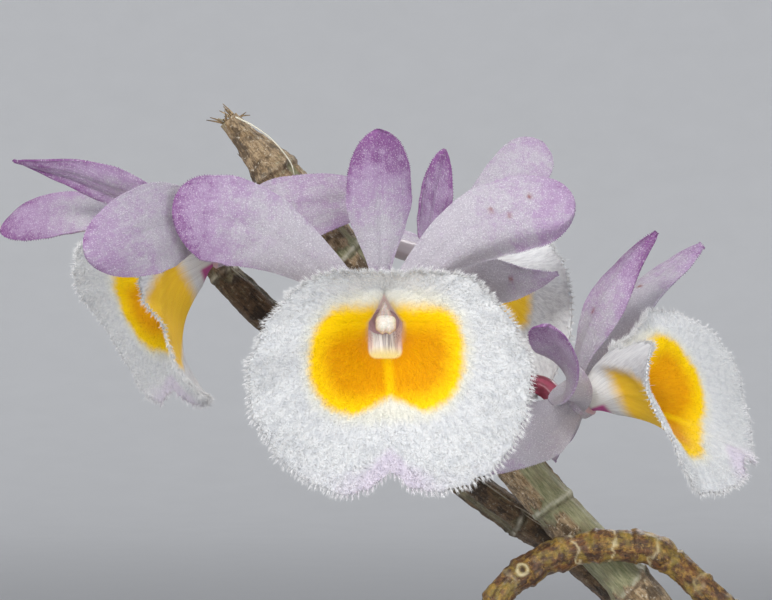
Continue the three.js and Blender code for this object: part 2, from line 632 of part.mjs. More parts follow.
// The blooms: where each hub is, which way it faces, and where its sepals and petals reach to,
// from the hub. A blade's face is the direction that its inner side looks.
const BLOOMS = [
  {
    name: "centre",
    node: 2,
    hub: vec(-94.6, -11, 272.6),
    turn: 4,
    rise: 0,
    roll: 0,
    size: 1,
    trim: [0, 0, 0, 0],
    bend: [-0.05, 0, -0.03, 0, 0, 0],
    wave: 0.4,
    phase: 0.6,
    stalkRise: 0,
    blades: [
      {
        kind: "dorsal", tip: [-0.4, -7, 29.6], via: [-0.4, -2.5, 15.7],
        face: [0.2, -0.96, 0.19], form: [0.29, 0.64, 2.2, 0.55, 0.17], cup: -0.16, wide: 1.08,
      },
      {
        kind: "petal", tip: [-32, -9.5, 15.5], via: [-18.5, -5.5, 19],
        face: [-0.11, -0.99, 0.03], form: [0.34, 0.7, 3.08, 0.51], cup: -0.1, wide: 1.07,
      },
      {
        kind: "petal", tip: [29.7, -7, 17.2], via: [12.2, -5, 20.1],
        face: [0.01, -0.98, 0.22], form: [0.41, 0.69, 2.7, 0.47], cup: -0.16, wide: 0.92,
      },
      {
        kind: "lateral", tip: [-16, 12, -18],
        face: [-0.4, -1, -0.3], cup: -0.12,
      },
      {
        kind: "lateral", tip: [9, 12, -23],
        face: [0.3, -1, -0.3], cup: -0.12,
      },
    ],
  },
  {
    name: "left",
    node: 0,
    hub: vec(-122.5, 2, 283.6),
    turn: -72.3,
    rise: -30.4,
    roll: -20.3,
    size: 0.87,
    trim: [-0.12, -0.1, 0.04, -0.01],
    bend: [-0.02, -0.07, -0.17, -0.01, 0.07, -0.12],
    wave: 1.25,
    phase: 2.67,
    stalkRise: 0,
    blades: [
      {
        kind: "dorsal", tip: [-30.6, -3, 14.4], via: [-13.1, -3, 12.1],
        face: [0.47, -0.36, -0.81], form: [0.36, 0.54, 1.38, 0.64], cup: -0.3, wide: 0.83,
      },
      {
        kind: "petal", tip: [-17.3, -26.5, -1.1], via: [-0.8, -23.5, 7.9],
        face: [0.61, -0.79, -0.05], form: [0.34, 0.65, 2.32, 0.5], cup: -0.12, wide: 1.29,
      },
      {
        kind: "petal", tip: [-34.3, 14, 3.6], via: [-20.9, 9, 10.5],
        face: [-0.11, -0.86, 0.5], form: [0.33, 0.69, 2.25, 0.5], cup: -0.1, wide: 0.72,
      },
      {
        kind: "lateral", tip: [32.4, -8, 8.4], via: [13.1, -9, 9.6],
        face: [0.03, -1, -0.09], form: [0.55, 0.41, 1.36, 0.81], cup: -0.1, wide: 1.29,
      },
      {
        kind: "lateral", tip: [11.3, 21, 5.2],
        face: [0.6, -0.3, -0.6], cup: -0.1,
      },
    ],
  },
  {
    name: "rear",
    node: 1,
    hub: vec(-84.1, 17, 282.2),
    turn: 110,
    rise: -14,
    roll: 0,
    size: 0.85,
    trim: [0, 0, -0.02, 0],
    bend: [0, 0, -0.08, 0, 0, 0],
    wave: 0.7,
    phase: 1.2,
    stalkRise: 0,
    blades: [
      {
        kind: "dorsal", tip: [0, 16, 18.9], via: [-4.2, 8, 0.6],
        face: [0.68, -0.47, 0.57], form: [0.36, 0.59, 2.18, 0.56], cup: 0.1, wide: 0.82,
      },
      {
        kind: "petal", tip: [16.3, 16, 20.2], via: [7.6, 12, 10.5],
        face: [-0.14, -0.95, 0.28], form: [0.25, 0.79, 2.53, 0.55], cup: -0.1, wide: 0.91,
      },
      {
        kind: "petal", tip: [-12.4, 20, 6.6], via: [-7.4, 11, 2.6],
        face: [0.3, -0.7, 0.5], cup: -0.1, wide: 0.9,
      },
      {
        kind: "lateral", tip: [17.1, -22, -2.1], via: [5, -17, -5.5],
        face: [0.33, 0.88, 0.35], form: [0.55, 0.4, 1.51, 0.8], cup: 0.2, wide: 0.96,
      },
      {
        kind: "lateral", tip: [4, 10, -23],
        face: [0.9, 0.2, -0.2], cup: -0.1,
      },
    ],
  },
  {
    name: "right",
    node: 3,
    hub: vec(-62, 0, 260.7),
    turn: 65.1,
    rise: 17.7,
    roll: 35.5,
    size: 0.92,
    trim: [-0.03, -0.04, -0.04, 0.16],
    bend: [-0.08, -0.19, 0.15, 0.07, 0.06, -0.03],
    wave: 1.29,
    phase: 2.25,
    stalkRise: 8,
    blades: [
      {
        kind: "dorsal", tip: [10.6, -6, 25.8], via: [0.2, -8, 15.2],
        face: [0.62, 0.7, -0.35], form: [0.36, 0.52, 1.62, 0.65], cup: 0.12, wide: 0.82,
      },
      {
        kind: "petal", tip: [19.5, 16, 24.2], via: [3.5, 10, 14.3],
        face: [-0.48, -0.52, 0.71], form: [0.31, 0.52, 1.6, 0.7], cup: -0.14, wide: 0.91,
      },
      {
        kind: "petal", tip: [-7.2, -28.1, 11.5], via: [-2.6, -12.9, -1.1],
        face: [0.21, 0.96, 0.16], form: [0.7, 0.78, 2.36, 0.32], twist: 151, cup: 0.31, wide: 0.72,
      },
      {
        kind: "lateral", tip: [-15.8, -10, -11.8], via: [-7.4, -7, -4.9],
        face: [0, -0.99, 0.16], form: [0.48, 0.41, 1.7, 0.78], cup: -0.14, wide: 0.98,
      },
      {
        kind: "lateral", tip: [-4.2, 19, -10.7],
        face: [0.5, 0.3, -0.8], cup: -0.1,
      },
    ],
  },
].map((bloom) => ({ ...bloom, axes: bloomAxes(bloom) }));

// Finishes
const clay = material(0xb5623f, 0.85);
const bark = material(0x5a3d28, 0.95);
const drySheath = material(0xb09a78, 0.8);
const oldStem = material(0x8a6526, 0.6);
const rootSkin = material(0xc9cbb8, 0.8);
const lilac = material(0xd9bfe0, 0.5);
const lipWhite = material(0xf4f0ee, 0.55);
const cream = material(0xf0e4d2, 0.5);
const stalkRed = material(0x9c3f52, 0.5);

const plant = new THREE.Group();
plant.add(piece("pot", potSolid(), clay));
plant.add(piece("bark", barkSolid(), bark));
plant.add(piece("rhizome_and_roots", rootsSolid(0).subtract(caneHoles(SEAT_GAP)), rootSkin));
plant.add(piece("flowering_cane", floweringCaneSolid(), drySheath));
plant.add(piece("back_cane", stemSolid(backCane.points, backCane.radii, 7), drySheath));
plant.add(piece("old_cane", stemSolid(oldCane.points, oldCane.radii, 7), oldStem));
for (const bloom of BLOOMS) {
  const flower = new THREE.Group();
  flower.add(piece(`${bloom.name}_bloom_sepals_and_petals`, perianthSolid(bloom), lilac));
  flower.add(piece(`${bloom.name}_bloom_lip`, lipSolid(bloom), lipWhite));
  flower.add(piece(`${bloom.name}_bloom_column`, columnSolid(bloom), cream));
  flower.add(piece(`${bloom.name}_bloom_stalk`, pedicelSolid(bloom), stalkRed));
  plant.add(flower);
}

export default plant;
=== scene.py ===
# %% [markdown]
# # An orchid in bloom, in its clay pot
# The plant is a Dendrobium primulinum. It flowers on a cane that has dropped its leaves, so there
# is nothing between the viewer and the blooms. Everything here is placed in the frame of the solid
# model, in metres, and most pieces repeat a solid of that model in a finer mesh.

# %% Load the frame
import math

import bpy
import numpy as np
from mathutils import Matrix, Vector


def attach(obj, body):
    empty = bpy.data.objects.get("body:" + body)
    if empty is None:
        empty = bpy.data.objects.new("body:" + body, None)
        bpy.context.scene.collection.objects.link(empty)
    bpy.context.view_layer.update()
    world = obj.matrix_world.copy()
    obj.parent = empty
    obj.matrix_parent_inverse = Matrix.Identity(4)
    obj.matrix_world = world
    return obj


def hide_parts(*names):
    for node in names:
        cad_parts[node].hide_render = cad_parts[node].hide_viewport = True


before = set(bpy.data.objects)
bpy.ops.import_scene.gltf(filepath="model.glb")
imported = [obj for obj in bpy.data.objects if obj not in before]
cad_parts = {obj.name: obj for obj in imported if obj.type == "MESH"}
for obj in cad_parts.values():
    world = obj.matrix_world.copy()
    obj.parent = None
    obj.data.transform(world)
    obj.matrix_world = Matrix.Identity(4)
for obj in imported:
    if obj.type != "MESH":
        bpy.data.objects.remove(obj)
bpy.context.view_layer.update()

MM = 0.001
print("solids in the frame:", len(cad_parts))

# %% [markdown]
# ## Small helpers for shapes
# Every shape below is a formula that works on whole arrays at once. That is quick enough to give
# each petal thousands of points. The random numbers are seeded, so the plant comes out the same
# each time.

# %% Numbers and vectors
def smooth(x):
    x = np.clip(x, 0.0, 1.0)
    return x * x * (3 - 2 * x)


def lerp(a, b, t):
    return a + (b - a) * t


def unit(v):
    v = np.asarray(v, dtype=float)
    return v / np.maximum(np.linalg.norm(v, axis=-1, keepdims=True), 1e-12)


def turned(v, axis, angle):
    """v turned round a unit axis."""
    v, axis = np.asarray(v, dtype=float), np.asarray(axis, dtype=float)
    c, s = np.cos(angle), np.sin(angle)
    return v * c + np.cross(axis, v) * s + axis * np.dot(axis, v) * (1 - c)


def lumps(points, size, seed=0):
    """Smooth noise from -1 to 1 at each point. Its lumps are about that size."""
    p = np.asarray(points, dtype=float) / size
    cell = np.floor(p).astype(np.int64)
    part = p - cell
    part = part * part * (3 - 2 * part)
    total = np.zeros(p.shape[:-1])
    for corner in np.ndindex(2, 2, 2):
        at = cell + corner
        mixed = at[..., 0] * 73856093 ^ at[..., 1] * 19349663 ^ at[..., 2] * 83492791
        mixed = (mixed ^ (seed * 7919 + 12345)) & 0xFFFFFFFF
        mixed = ((mixed ^ (mixed >> 13)) * 1274126177) & 0xFFFFFFFF
        value = (mixed ^ (mixed >> 16)) / 0x7FFFFFFF - 1
        weight = np.prod(np.where(corner, part, 1 - part), axis=-1)
        total += weight * np.clip(value, -1, 1)
    return total


def rough(points, size, seed=0, layers=3):
    """Several layers of lumps, each half the size and half the height of the one before."""
    return sum(lumps(points, size / 2**k, seed + 31 * k) / 2**k for k in range(layers)) / 1.6


def seeded(seed):
    """The same small random source as the solid model uses, so that chips and roots match it."""
    state = seed

    def draw():
        nonlocal state
        state = (state * 1664525 + 1013904223) % 4294967296
        return state / 4294967296

    return draw


def through(route):
    """A smooth curve through the route's points: positions and arc lengths, in about 4000 steps."""
    pts = np.array(route, dtype=float)
    pts = np.vstack([2 * pts[0] - pts[1], pts, 2 * pts[-1] - pts[-2]])
    out = []
    per = 4000 // (len(route) - 1)
    for k in range(1, len(pts) - 2):
        p0, p1, p2, p3 = pts[k - 1 : k + 3]
        d0, d1, d2 = [max(np.linalg.norm(b - a) ** 0.5, 1e-4) for a, b in ((p0, p1), (p1, p2), (p2, p3))]
        t1 = ((p1 - p0) / d0 - (p2 - p0) / (d0 + d1) + (p2 - p1) / d1) * d1
        t2 = ((p2 - p1) / d1 - (p3 - p1) / (d1 + d2) + (p3 - p2) / d2) * d1
        t = np.linspace(0, 1, per, endpoint=False)[:, None]
        a, b = 2 * p1 - 2 * p2 + t1 + t2, -3 * p1 + 3 * p2 - 2 * t1 - t2
        out.append(((a * t + b) * t + t1) * t + p1)
    out.append(pts[-2][None])
    line = np.vstack(out)
    length = np.concatenate([[0], np.cumsum(np.linalg.norm(np.diff(line, axis=0), axis=1))])
    return line, length


def along(line, length, s):
    return np.stack([np.interp(s, length, line[:, k]) for k in range(3)], axis=-1)


# %% [markdown]
# ## Small helpers for meshes
# A petal, a lip, a stem and a pot wall are all grids of points. One function turns a grid into
# faces, and one gives a thin grid its second side and its rim. Numbers that the materials need,
# such as how far a point is along its petal, are kept on the points under a name.

# %% Meshes
def grid_faces(rows, columns, ring=False, flip=False, start=0):
    """Four-sided faces between rows of points. A ring joins each row's last point to its first."""
    cells = columns if ring else columns - 1
    j, i = np.meshgrid(np.arange(rows - 1), np.arange(cells), indexing="ij")
    nxt = (i + 1) % columns
    here, above = j * columns, (j + 1) * columns
    quads = np.stack([here + i, here + nxt, above + nxt, above + i], -1).reshape(-1, 4) + start
    return quads[:, ::-1] if flip else quads


def grid_normals(p, ring=False):
    if ring:
        du = np.roll(p, -1, axis=1) - np.roll(p, 1, axis=1)
    else:
        du = np.gradient(p, axis=1)
    return unit(np.cross(du, np.gradient(p, axis=0)))


class Heap:
    """Points, faces and named numbers, gathered from several grids into one mesh."""

    def __init__(self):
        self.points, self.faces, self.values, self.count = [], [], [], 0

    def add(self, points, faces, **values):
        points = np.asarray(points, dtype=float).reshape(-1, 3)
        self.points.append(points)
        self.faces.append(np.asarray(faces).reshape(len(faces), -1) + self.count)
        n = len(points)
        self.values.append({k: np.broadcast_to(v, (n, *np.shape(v)[1:])) for k, v in values.items()})
        self.count += len(points)

    def sheet(self, p, thickness, ring=False, **values):
        """A thin solid round the grid p. The first face is on the side of the grid's normals."""
        rows, columns = p.shape[:2]
        normal = grid_normals(p, ring)
        t = np.broadcast_to(thickness, (rows, columns))[..., None] / 2
        both = np.concatenate([(p + normal * t).reshape(-1, 3), (p - normal * t).reshape(-1, 3)])
        n = rows * columns
        faces = [grid_faces(rows, columns, ring), grid_faces(rows, columns, ring, True, n)]
        low = np.arange(columns)
        high = low + (rows - 1) * columns
        edges = [(low, True), (high, False)]
        if not ring:
            left = np.arange(rows) * columns
            edges += [(left, False), (left + columns - 1, True)]
        for line, turn in edges:
            nxt = np.roll(line, -1) if ring else line[1:]
            cur = line if ring else line[:-1]
            rim = np.stack([cur, cur + n, nxt + n, nxt] if turn else [cur, nxt, nxt + n, cur + n], -1)
            faces.append(rim)
        doubled = {k: np.concatenate([np.reshape(v, (n, -1))] * 2) for k, v in values.items()}
        doubled["front"] = np.concatenate([np.ones((n, 1)), np.zeros((n, 1))])
        self.add(both, np.vstack(faces), **doubled)

    def tube(self, p, **values):
        """A stem: rows of rings, closed at both ends by a point in the middle."""
        rows, columns = p.shape[:2]
        ends = np.stack([p[0].mean(0), p[-1].mean(0)])
        n = rows * columns
        nxt = (np.arange(columns) + 1) % columns
        at = np.arange(columns)
        low = np.stack([at * 0 + n, nxt, at], -1)
        high = np.stack([at * 0 + n + 1, at + n - columns, nxt + n - columns], -1)
        closed = {}
        for k, v in values.items():
            v = np.reshape(v, (n, -1))
            closed[k] = np.concatenate([v, v[:columns].mean(0)[None], v[-columns:].mean(0)[None]])
        quads = grid_faces(rows, columns, True)
        all_points = np.concatenate([p.reshape(-1, 3), ends])
        self.add(all_points, quads, **closed)
        self.faces.append(np.concatenate([low, high]) + self.count - len(all_points))

    def object(self, name, material, slot, replaces=(), flat=False):
        points = np.concatenate(self.points) * MM
        mesh = bpy.data.meshes.new(name)
        faces = [face.tolist() for block in self.faces for face in block]
        mesh.from_pydata(points, [], faces)
        names = sorted({k for block in self.values for k in block})
        for key in names:
            kept = [block[key] for block in self.values if key in block]
            size = max(v.reshape(len(v), -1).shape[1] for v in kept)
            rows = []
            for block, pts in zip(self.values, self.points):
                rows.append(block[key].reshape(len(pts), -1) if key in block else np.zeros((len(pts), size)))
            layer = mesh.attributes.new(key, "FLOAT_VECTOR" if size == 3 else "FLOAT", "POINT")
            numbers = np.concatenate(rows).astype(np.float32).ravel()
            layer.data.foreach_set("vector" if size == 3 else "value", numbers)
        if not flat:
            mesh.shade_smooth()
        mesh.materials.append(material)
        thing = bpy.data.objects.new(name, mesh)
        bpy.context.scene.collection.objects.link(thing)
        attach(thing, "root")
        if replaces:
            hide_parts(*replaces)
        mesh.calc_loop_triangles()
        TALLY[name] = len(mesh.loop_triangles)
        return thing


TALLY = {}


def rings(line, length, s, radius, sides, first=(0, 1, 0)):
    """Rings of points round a curve, at the arc lengths s. radius may differ at each point."""
    centre = along(line, length, s)
    ahead = unit(along(line, length, s + 0.05) - along(line, length, s - 0.05))
    across = np.zeros_like(centre)
    way = np.asarray(first, dtype=float)
    for k in range(len(s)):
        way = unit(way - ahead[k] * np.dot(way, ahead[k]))
        across[k] = way
    other = np.cross(ahead, across)
    angle = np.linspace(0, 2 * np.pi, sides, endpoint=False)
    spoke = across[:, None] * np.cos(angle)[None, :, None] + other[:, None] * np.sin(angle)[None, :, None]
    r = np.broadcast_to(radius, (len(s), sides))[..., None]
    return centre[:, None] + spoke * r, angle


def cones(roots, ways, lengths, widths, seed=0):
    """Fine hairs: three-sided cones from their roots. Returns points, faces and each point's hair."""
    random = np.random.default_rng(seed)
    ways = unit(ways)
    side = unit(np.cross(ways, random.normal(size=ways.shape)))
    other = np.cross(ways, side)
    corners = []
    for k in range(3):
        a = 2 * np.pi * k / 3
        corners.append(roots + (side * np.cos(a) + other * np.sin(a)) * widths[:, None])
    tips = roots + ways * lengths[:, None]
    points = np.stack([*corners, tips], axis=1)
    first = np.arange(len(roots))[:, None, None] * 4
    faces = first + np.array([[0, 1, 3], [1, 2, 3], [2, 0, 3]])
    return points.reshape(-1, 3), faces.reshape(-1, 3), np.repeat(np.arange(len(roots)), 4)


def scatter(p, count, seed, weight=None, ring=False):
    """Random places on the grid p, even by area: row, column and how far into that cell."""
    random = np.random.default_rng(seed)
    q = np.concatenate([p, p[:, :1]], axis=1) if ring else p
    du, dv = q[:-1, 1:] - q[:-1, :-1], q[1:, :-1] - q[:-1, :-1]
    area = np.linalg.norm(np.cross(du, dv), axis=-1)
    if weight is not None:
        area = area * weight[:-1, : area.shape[1]]
    share = np.cumsum(area.ravel())
    pick = np.searchsorted(share, random.random(count) * share[-1])
    j, i = np.divmod(np.minimum(pick, area.size - 1), area.shape[1])
    return j, i, random.random(count), random.random(count)


def sample(grid, place, ring=False):
    """The grid's value at scattered places."""
    g = np.concatenate([grid, grid[:, :1]], axis=1) if ring else grid
    j, i, a, b = place
    if g.ndim == 3:
        a, b = a[:, None], b[:, None]
    low = g[j, i] * (1 - a) + g[j, i + 1] * a
    high = g[j + 1, i] * (1 - a) + g[j + 1, i + 1] * a
    return low * (1 - b) + high * b


# %% [markdown]
# ## Writing materials as sums
# A material's colour is worked out by small maths nodes. Wrapping a socket in a class that knows
# plus, minus and times lets each formula be written as a formula.

# %% Sums of sockets
class Socket:
    """One number, colour or vector on its way through a material."""

    def __init__(self, recipe, socket):
        self.recipe, self.socket = recipe, socket

    def maths(self, operation, *others):
        return self.recipe.node("Math", {"operation": operation}, dict(enumerate((self, *others))))

    def vector(self, operation, *others, out=0):
        inputs = dict(enumerate((self, *others)))
        return self.recipe.node("VectorMath", {"operation": operation}, inputs, out)

    def __add__(self, other):
        return self.maths("ADD", other)

    def __radd__(self, other):
        return self.maths("ADD", other)

    def __sub__(self, other):
        return self.maths("SUBTRACT", other)

    def __rsub__(self, other):
        return self.recipe.node("Math", {"operation": "SUBTRACT"}, {0: other, 1: self})

    def __mul__(self, other):
        return self.maths("MULTIPLY", other)

    def __rmul__(self, other):
        return self.maths("MULTIPLY", other)

    def __truediv__(self, other):
        return self.maths("DIVIDE", other)

    def __rtruediv__(self, other):
        return self.recipe.node("Math", {"operation": "DIVIDE"}, {0: other, 1: self})

    def __pow__(self, other):
        return self.maths("POWER", other)

    def __neg__(self):
        return self.maths("MULTIPLY", -1.0)

    def size(self):
        return self.maths("ABSOLUTE")

    def most(self, other):
        return self.maths("MAXIMUM", other)

    def part(self, axis):
        """One of the three numbers of a vector."""
        return self.recipe.node("SeparateXYZ", {}, {0: self}, "xyz".index(axis))

    def step(self, low, high):
        """0 below low, 1 above high, and a smooth rise between. low may be above high."""
        settings = {"interpolation_type": "SMOOTHSTEP"}
        if low <= high:
            return self.recipe.node("MapRange", settings, {"Value": self, "From Min": low, "From Max": high})
        return 1.0 - self.step(high, low)


class Recipe:
    """A material in the making. Colours are written as on screen, such as "d9bfe0"."""

    def __init__(self, name):
        self.material = bpy.data.materials.new(name)
        self.material.use_nodes = True
        self.tree = self.material.node_tree
        self.tree.nodes.clear()

    def node(self, kind, settings=None, inputs=None, out=0):
        node = self.tree.nodes.new("ShaderNode" + kind)
        for key, value in (settings or {}).items():
            setattr(node, key, value)
        for key, value in (inputs or {}).items():
            if isinstance(value, Socket):
                self.tree.links.new(value.socket, node.inputs[key])
            else:
                node.inputs[key].default_value = value
        return Socket(self, node.outputs[out])

    def value(self, name):
        """A number kept on the mesh's points."""
        return self.node("Attribute", {"attribute_name": name}, {}, "Fac")

    def place(self, name=None):
        """A vector kept on the points, or else the place in millimetres."""
        if name:
            return self.node("Attribute", {"attribute_name": name}, {}, "Vector")
        return self.node("TexCoord", {}, {}, "Object").vector("MULTIPLY", (1000.0, 1000.0, 1000.0))

    def noise(self, at, scale, detail=2.0, roughness=0.5):
        """Noise round 0.5. scale counts its lumps in a millimetre."""
        inputs = {"Vector": at, "Scale": scale, "Detail": detail, "Roughness": roughness}
        return self.node("TexNoise", {}, inputs, "Fac")

    def cells(self, at, scale):
        """How far each place is from the middle of its own small cell."""
        return self.node("TexVoronoi", {}, {"Vector": at, "Scale": scale}, "Distance")

    def mix(self, share, a, b):
        a, b = [screen(c) if isinstance(c, str) else c for c in (a, b)]
        settings = {"data_type": "RGBA", "clamp_factor": True}
        return self.node("Mix", settings, {0: share, 6: a, 7: b}, 2)

    def scaled(self, colour, share):
        """The colour times a number."""
        return self.node("VectorMath", {"operation": "SCALE"}, {0: colour, "Scale": share})

    def bump(self, height, distance, strength=1.0):
        inputs = {"Height": height, "Distance": distance * MM, "Strength": strength}
        return self.node("Bump", {}, inputs)

    def finish(self, colour, roughness, normal=None, **constants):
        base = screen(colour) if isinstance(colour, str) else colour
        inputs = {"Base Color": base, "Roughness": roughness}
        if normal is not None:
            inputs["Normal"] = normal
        inputs.update({key.replace("_", " "): value for key, value in constants.items()})
        shader = self.node("BsdfPrincipled", {}, inputs)
        end = self.tree.nodes.new("ShaderNodeOutputMaterial")
        self.tree.links.new(shader.socket, end.inputs["Surface"])
        return self.material


def screen(code):
    """A screen colour such as "d9bfe0" as the numbers that light is reckoned in."""
    parts = [int(code[k : k + 2], 16) / 255 for k in (0, 2, 4)]
    return tuple(c / 12.92 if c <= 0.04045 else ((c + 0.055) / 1.055) ** 2.4 for c in parts) + (1.0,)


# %% [markdown]
# ## Petals and sepals
# A petal is almost white, and turns lilac toward its tip and its margin. Its skin is made of tiny
# domed cells, whose sparkle is painted into the colour as white glints, and faint veins run along it.
# How lilac a place is comes with the mesh, and the material adds the mottling. The front of the hub,
# seen down the tube of the lip, is pinkish. Its faint glow stands in for the light that comes through
# the tube's thin wall.

# %% Petal material
def petal_material():
    m = Recipe("petal")
    leaf = m.place("leaf")
    tint = m.value("tint")
    x, y = leaf.part("x"), leaf.part("y")
    stretched = m.node("CombineXYZ", {}, {0: x * 1.9, 1: y * 0.16, 2: leaf.part("z")})
    veins = m.noise(stretched, 1.3, 3.0, 0.55)
    fine_veins = m.noise(stretched, 4.5, 2.0, 0.6)
    cloud = m.noise(leaf, 0.38, 4.0, 0.6)
    mottle = m.noise(leaf, 1.5, 4.0, 0.68)
    cells = m.cells(leaf, 4.4)
    grain = m.noise(leaf, 4.2, 3.0, 0.75)
    lilac = tint + (cloud - 0.5) * 1.1 + (mottle - 0.5) * 0.9 + (veins - 0.5) * 0.5 * tint.step(0.05, 0.6)
    colour = m.mix(lilac.step(0.0, 0.7), "b7b2bb", "a68cae")
    colour = m.mix(lilac.step(0.6, 1.2), colour, "825088")
    colour = m.mix(fine_veins.step(0.56, 0.76) * 0.2, colour, "9d7fa8")
    colour = m.mix(m.value("green").step(0.0, 1.0) * 0.3, colour, "c6c6b0")
    # Painted sparkle: single cells are whitened as painted glints.
    painted_sparkle = cells.step(0.5, 0.1) * grain.step(0.4, 0.6)
    dusk = grain.step(0.52, 0.32)
    colour = m.mix(dusk * 0.32, colour, "82768a")
    colour = m.mix(painted_sparkle * 0.5, colour, "ffffff")
    colour = m.mix(m.value("speck"), colour, "84402c")
    hub = m.value("hub")
    colour = m.mix(hub, colour, "bfa0a4")
    height = cells * -0.7 + grain * 0.6 + fine_veins * 0.7 + veins * 1.2
    normal = m.bump(height, 0.14, 0.8)
    gloss = 0.5 - painted_sparkle * 0.26
    return m.finish(
        colour, gloss, normal, IOR=1.42, Specular_IOR_Level=0.3,
        Subsurface_Weight=0.15, Subsurface_Radius=(1.0, 0.75, 0.9), Subsurface_Scale=0.0004,
        Sheen_Weight=0.12, Sheen_Roughness=0.4,
        Emission_Color=m.mix(hub, "000000", "a48688"), Emission_Strength=0.2,
    )


PETAL = petal_material()


# %% [markdown]
# ## The lip
# The lip is rolled to a tube round the column and flares to a broad white disc. Two yellow lobes
# lie on its floor, under the mouth. Both are drawn here by formula from how far right and how far
# up a place is, so the hairs that grow there take the same colour as the skin below them. Outside
# the yellow the hairs have glassy tips, painted bright with glints in their colour and a faint
# glow, and they are painted darker toward their roots, as painted shade among them. The inside of
# the tube glows as the hub does, a painted light for what comes through its thin wall, and a faint
# glow on the roof above the mouth and on the yellow of the tube's outside is painted light that
# lifts their shade.

# %% Lip material
def lip_material(name, hair):
    m = Recipe(name)
    flat = m.place("flat")
    polar = m.place("polar")
    x, y, deep = flat.part("x"), flat.part("y"), flat.part("z")
    front = m.value("front")
    wander = (m.noise(flat, 0.55, 3.0, 0.6) - 0.5) * 1.6
    ray = m.noise(polar, 1.0, 3.0, 0.6)
    fine_ray = m.noise(polar, 3.2, 2.0, 0.6)
    streak = (fine_ray - 0.5) * 1.5 + (ray - 0.5) * 1.6
    across = ((x.size() - 4.6 + x * 0.03).most(0.0) / 7.3) ** 2.1
    tall = ((y + 5.3 - x * 0.05) / 8.7).size() ** 2.3
    lobe = (across + tall) ** 0.45
    notch = 0.0 - (x - 0.6).size() * 0.45 - y - 11.6
    gold = lobe + (wander + streak) * 0.075
    cleft = (notch + (wander + streak) * 0.5).step(1.0, -0.8) * m.value("notch") + 1.0 - m.value("notch")
    patch = gold.step(1.12, 0.9) * cleft
    soft_top = (y + wander).step(4.0, 1.0)
    patch = patch * soft_top
    middle = (x - 0.4).size().step(1.4, 0.1)
    orange = gold.step(0.95, 0.5) * (y - x * 0.1).step(1.5, -3.5) * (1.0 - middle * 0.75)
    yellow = m.mix(orange, "f7ce00", "de9a00")
    yellow = m.mix(fine_ray.step(0.5, 0.75) * 0.35, yellow, "efb800")
    # The skin is painted darker than the hairs on it: painted shade between the hairs.
    pale, shade = ("efefef", "dfe0e2") if hair else ("d9dadb", "c4c6ca")
    outer = m.mix(fine_ray.step(0.35, 0.7) * 0.8, pale, shade)
    halo = gold.step(1.3, 1.0) * (1.0 - patch)
    outer = m.mix(halo * 0.3, outer, "efe8bc")
    violet = m.value("violet") + (ray - 0.5) * 0.5 * m.value("violet").step(0.0, 0.4)
    outer = m.mix(violet.step(0.12, 1.0) * 0.25, outer, "c39bd0")
    disc = m.mix(patch, outer, yellow)
    stripe = m.noise(m.node("CombineXYZ", {}, {0: x * 3.0, 1: y * 0.15}), 1.0, 2.0, 0.5)
    floor = m.mix(stripe.step(0.42, 0.66) * 0.8, "e9e7df", "a39c9c")
    floor = m.mix(y.step(-3.6, -5.6), floor, "dccd8a")
    roof = m.mix(y.step(-0.5, 1.5), floor, "d6c5c0")
    side = x.size().step(1.5, 2.6) * y.step(-5.4, -3.6)
    tunnel = m.mix(side * 0.7, roof, "c29a94")
    dots = m.noise(flat, 3.4, 2.0, 0.5).step(0.58, 0.64) * x.size().step(1.5, 2.1)
    tunnel = m.mix(dots * y.step(-3.6, -2.6) * y.step(1.6, 0.8) * 0.7, tunnel, "7c2f45")
    mouth = ((x.size() / 2.9) ** 4.0 + ((y + 3.0).size() / 2.9) ** 4.0).step(1.25, 0.75)
    throat = m.value("inside").most(mouth)
    face = m.mix(throat, disc, tunnel)
    back_yellow = m.mix(ray.step(0.3, 0.8) * 0.5, "e8b400", "f2cc10")
    wider = 0.75 - m.value("notch") * 0.95
    back_patch = (gold - wider).step(1.15, 0.8) * (deep + streak * 0.5).step(4.0, 7.4)
    back_patch = back_patch * (y + wander - wider * 3.0).step(4.0, 1.0)
    back_patch = back_patch * (y + streak * 0.6).step(-10.5, -8.0)
    plain = m.mix(fine_ray.step(0.35, 0.75) * 0.8, "e8e9ea", "c8c8cc")
    back = m.mix(back_patch * 0.95, plain, back_yellow)
    back = m.mix(deep.step(4.0, 0.5) * 0.4, back, "d9d2c4")
    back = m.mix(deep.step(3.2, 2.0) * y.step(-0.3, -1.1) * 0.9, back, "b52c88")
    colour = m.mix(front, face, back)
    if hair:
        tip = m.value("tip")
        bare = 1.0 - patch
        # Hairs darkened toward the root and whitened toward the tip: painted shade among the hairs and
        # painted glints at their tips.
        colour = m.mix(tip * bare, m.scaled(colour, 0.74), "ffffff")
        # A faint glow on the roof above the mouth, and on the brightest hair tips: painted light.
        brow_painted_light = y.step(1.6, 4.0) * y.step(9.0, 6.5) * x.size().step(8.0, 1.5)
        glow = m.mix(brow_painted_light, "000000", "7f8080")
        glow = m.mix(tip.step(0.5, 0.95) * bare, glow, "ffffff")
        return m.finish(
            colour, 0.3, IOR=1.5, Specular_IOR_Level=0.15, Coat_Weight=tip * bare * 0.6, Coat_Roughness=0.08,
            Emission_Color=glow, Emission_Strength=0.34,
        )
    grain = m.noise(flat, 5.0, 2.0, 0.7)
    cells = m.cells(flat, 5.0)
    height = fine_ray * 0.9 + ray * 1.4 + grain * 0.5 - cells * 0.4
    normal = m.bump(height, 0.16, 0.8)
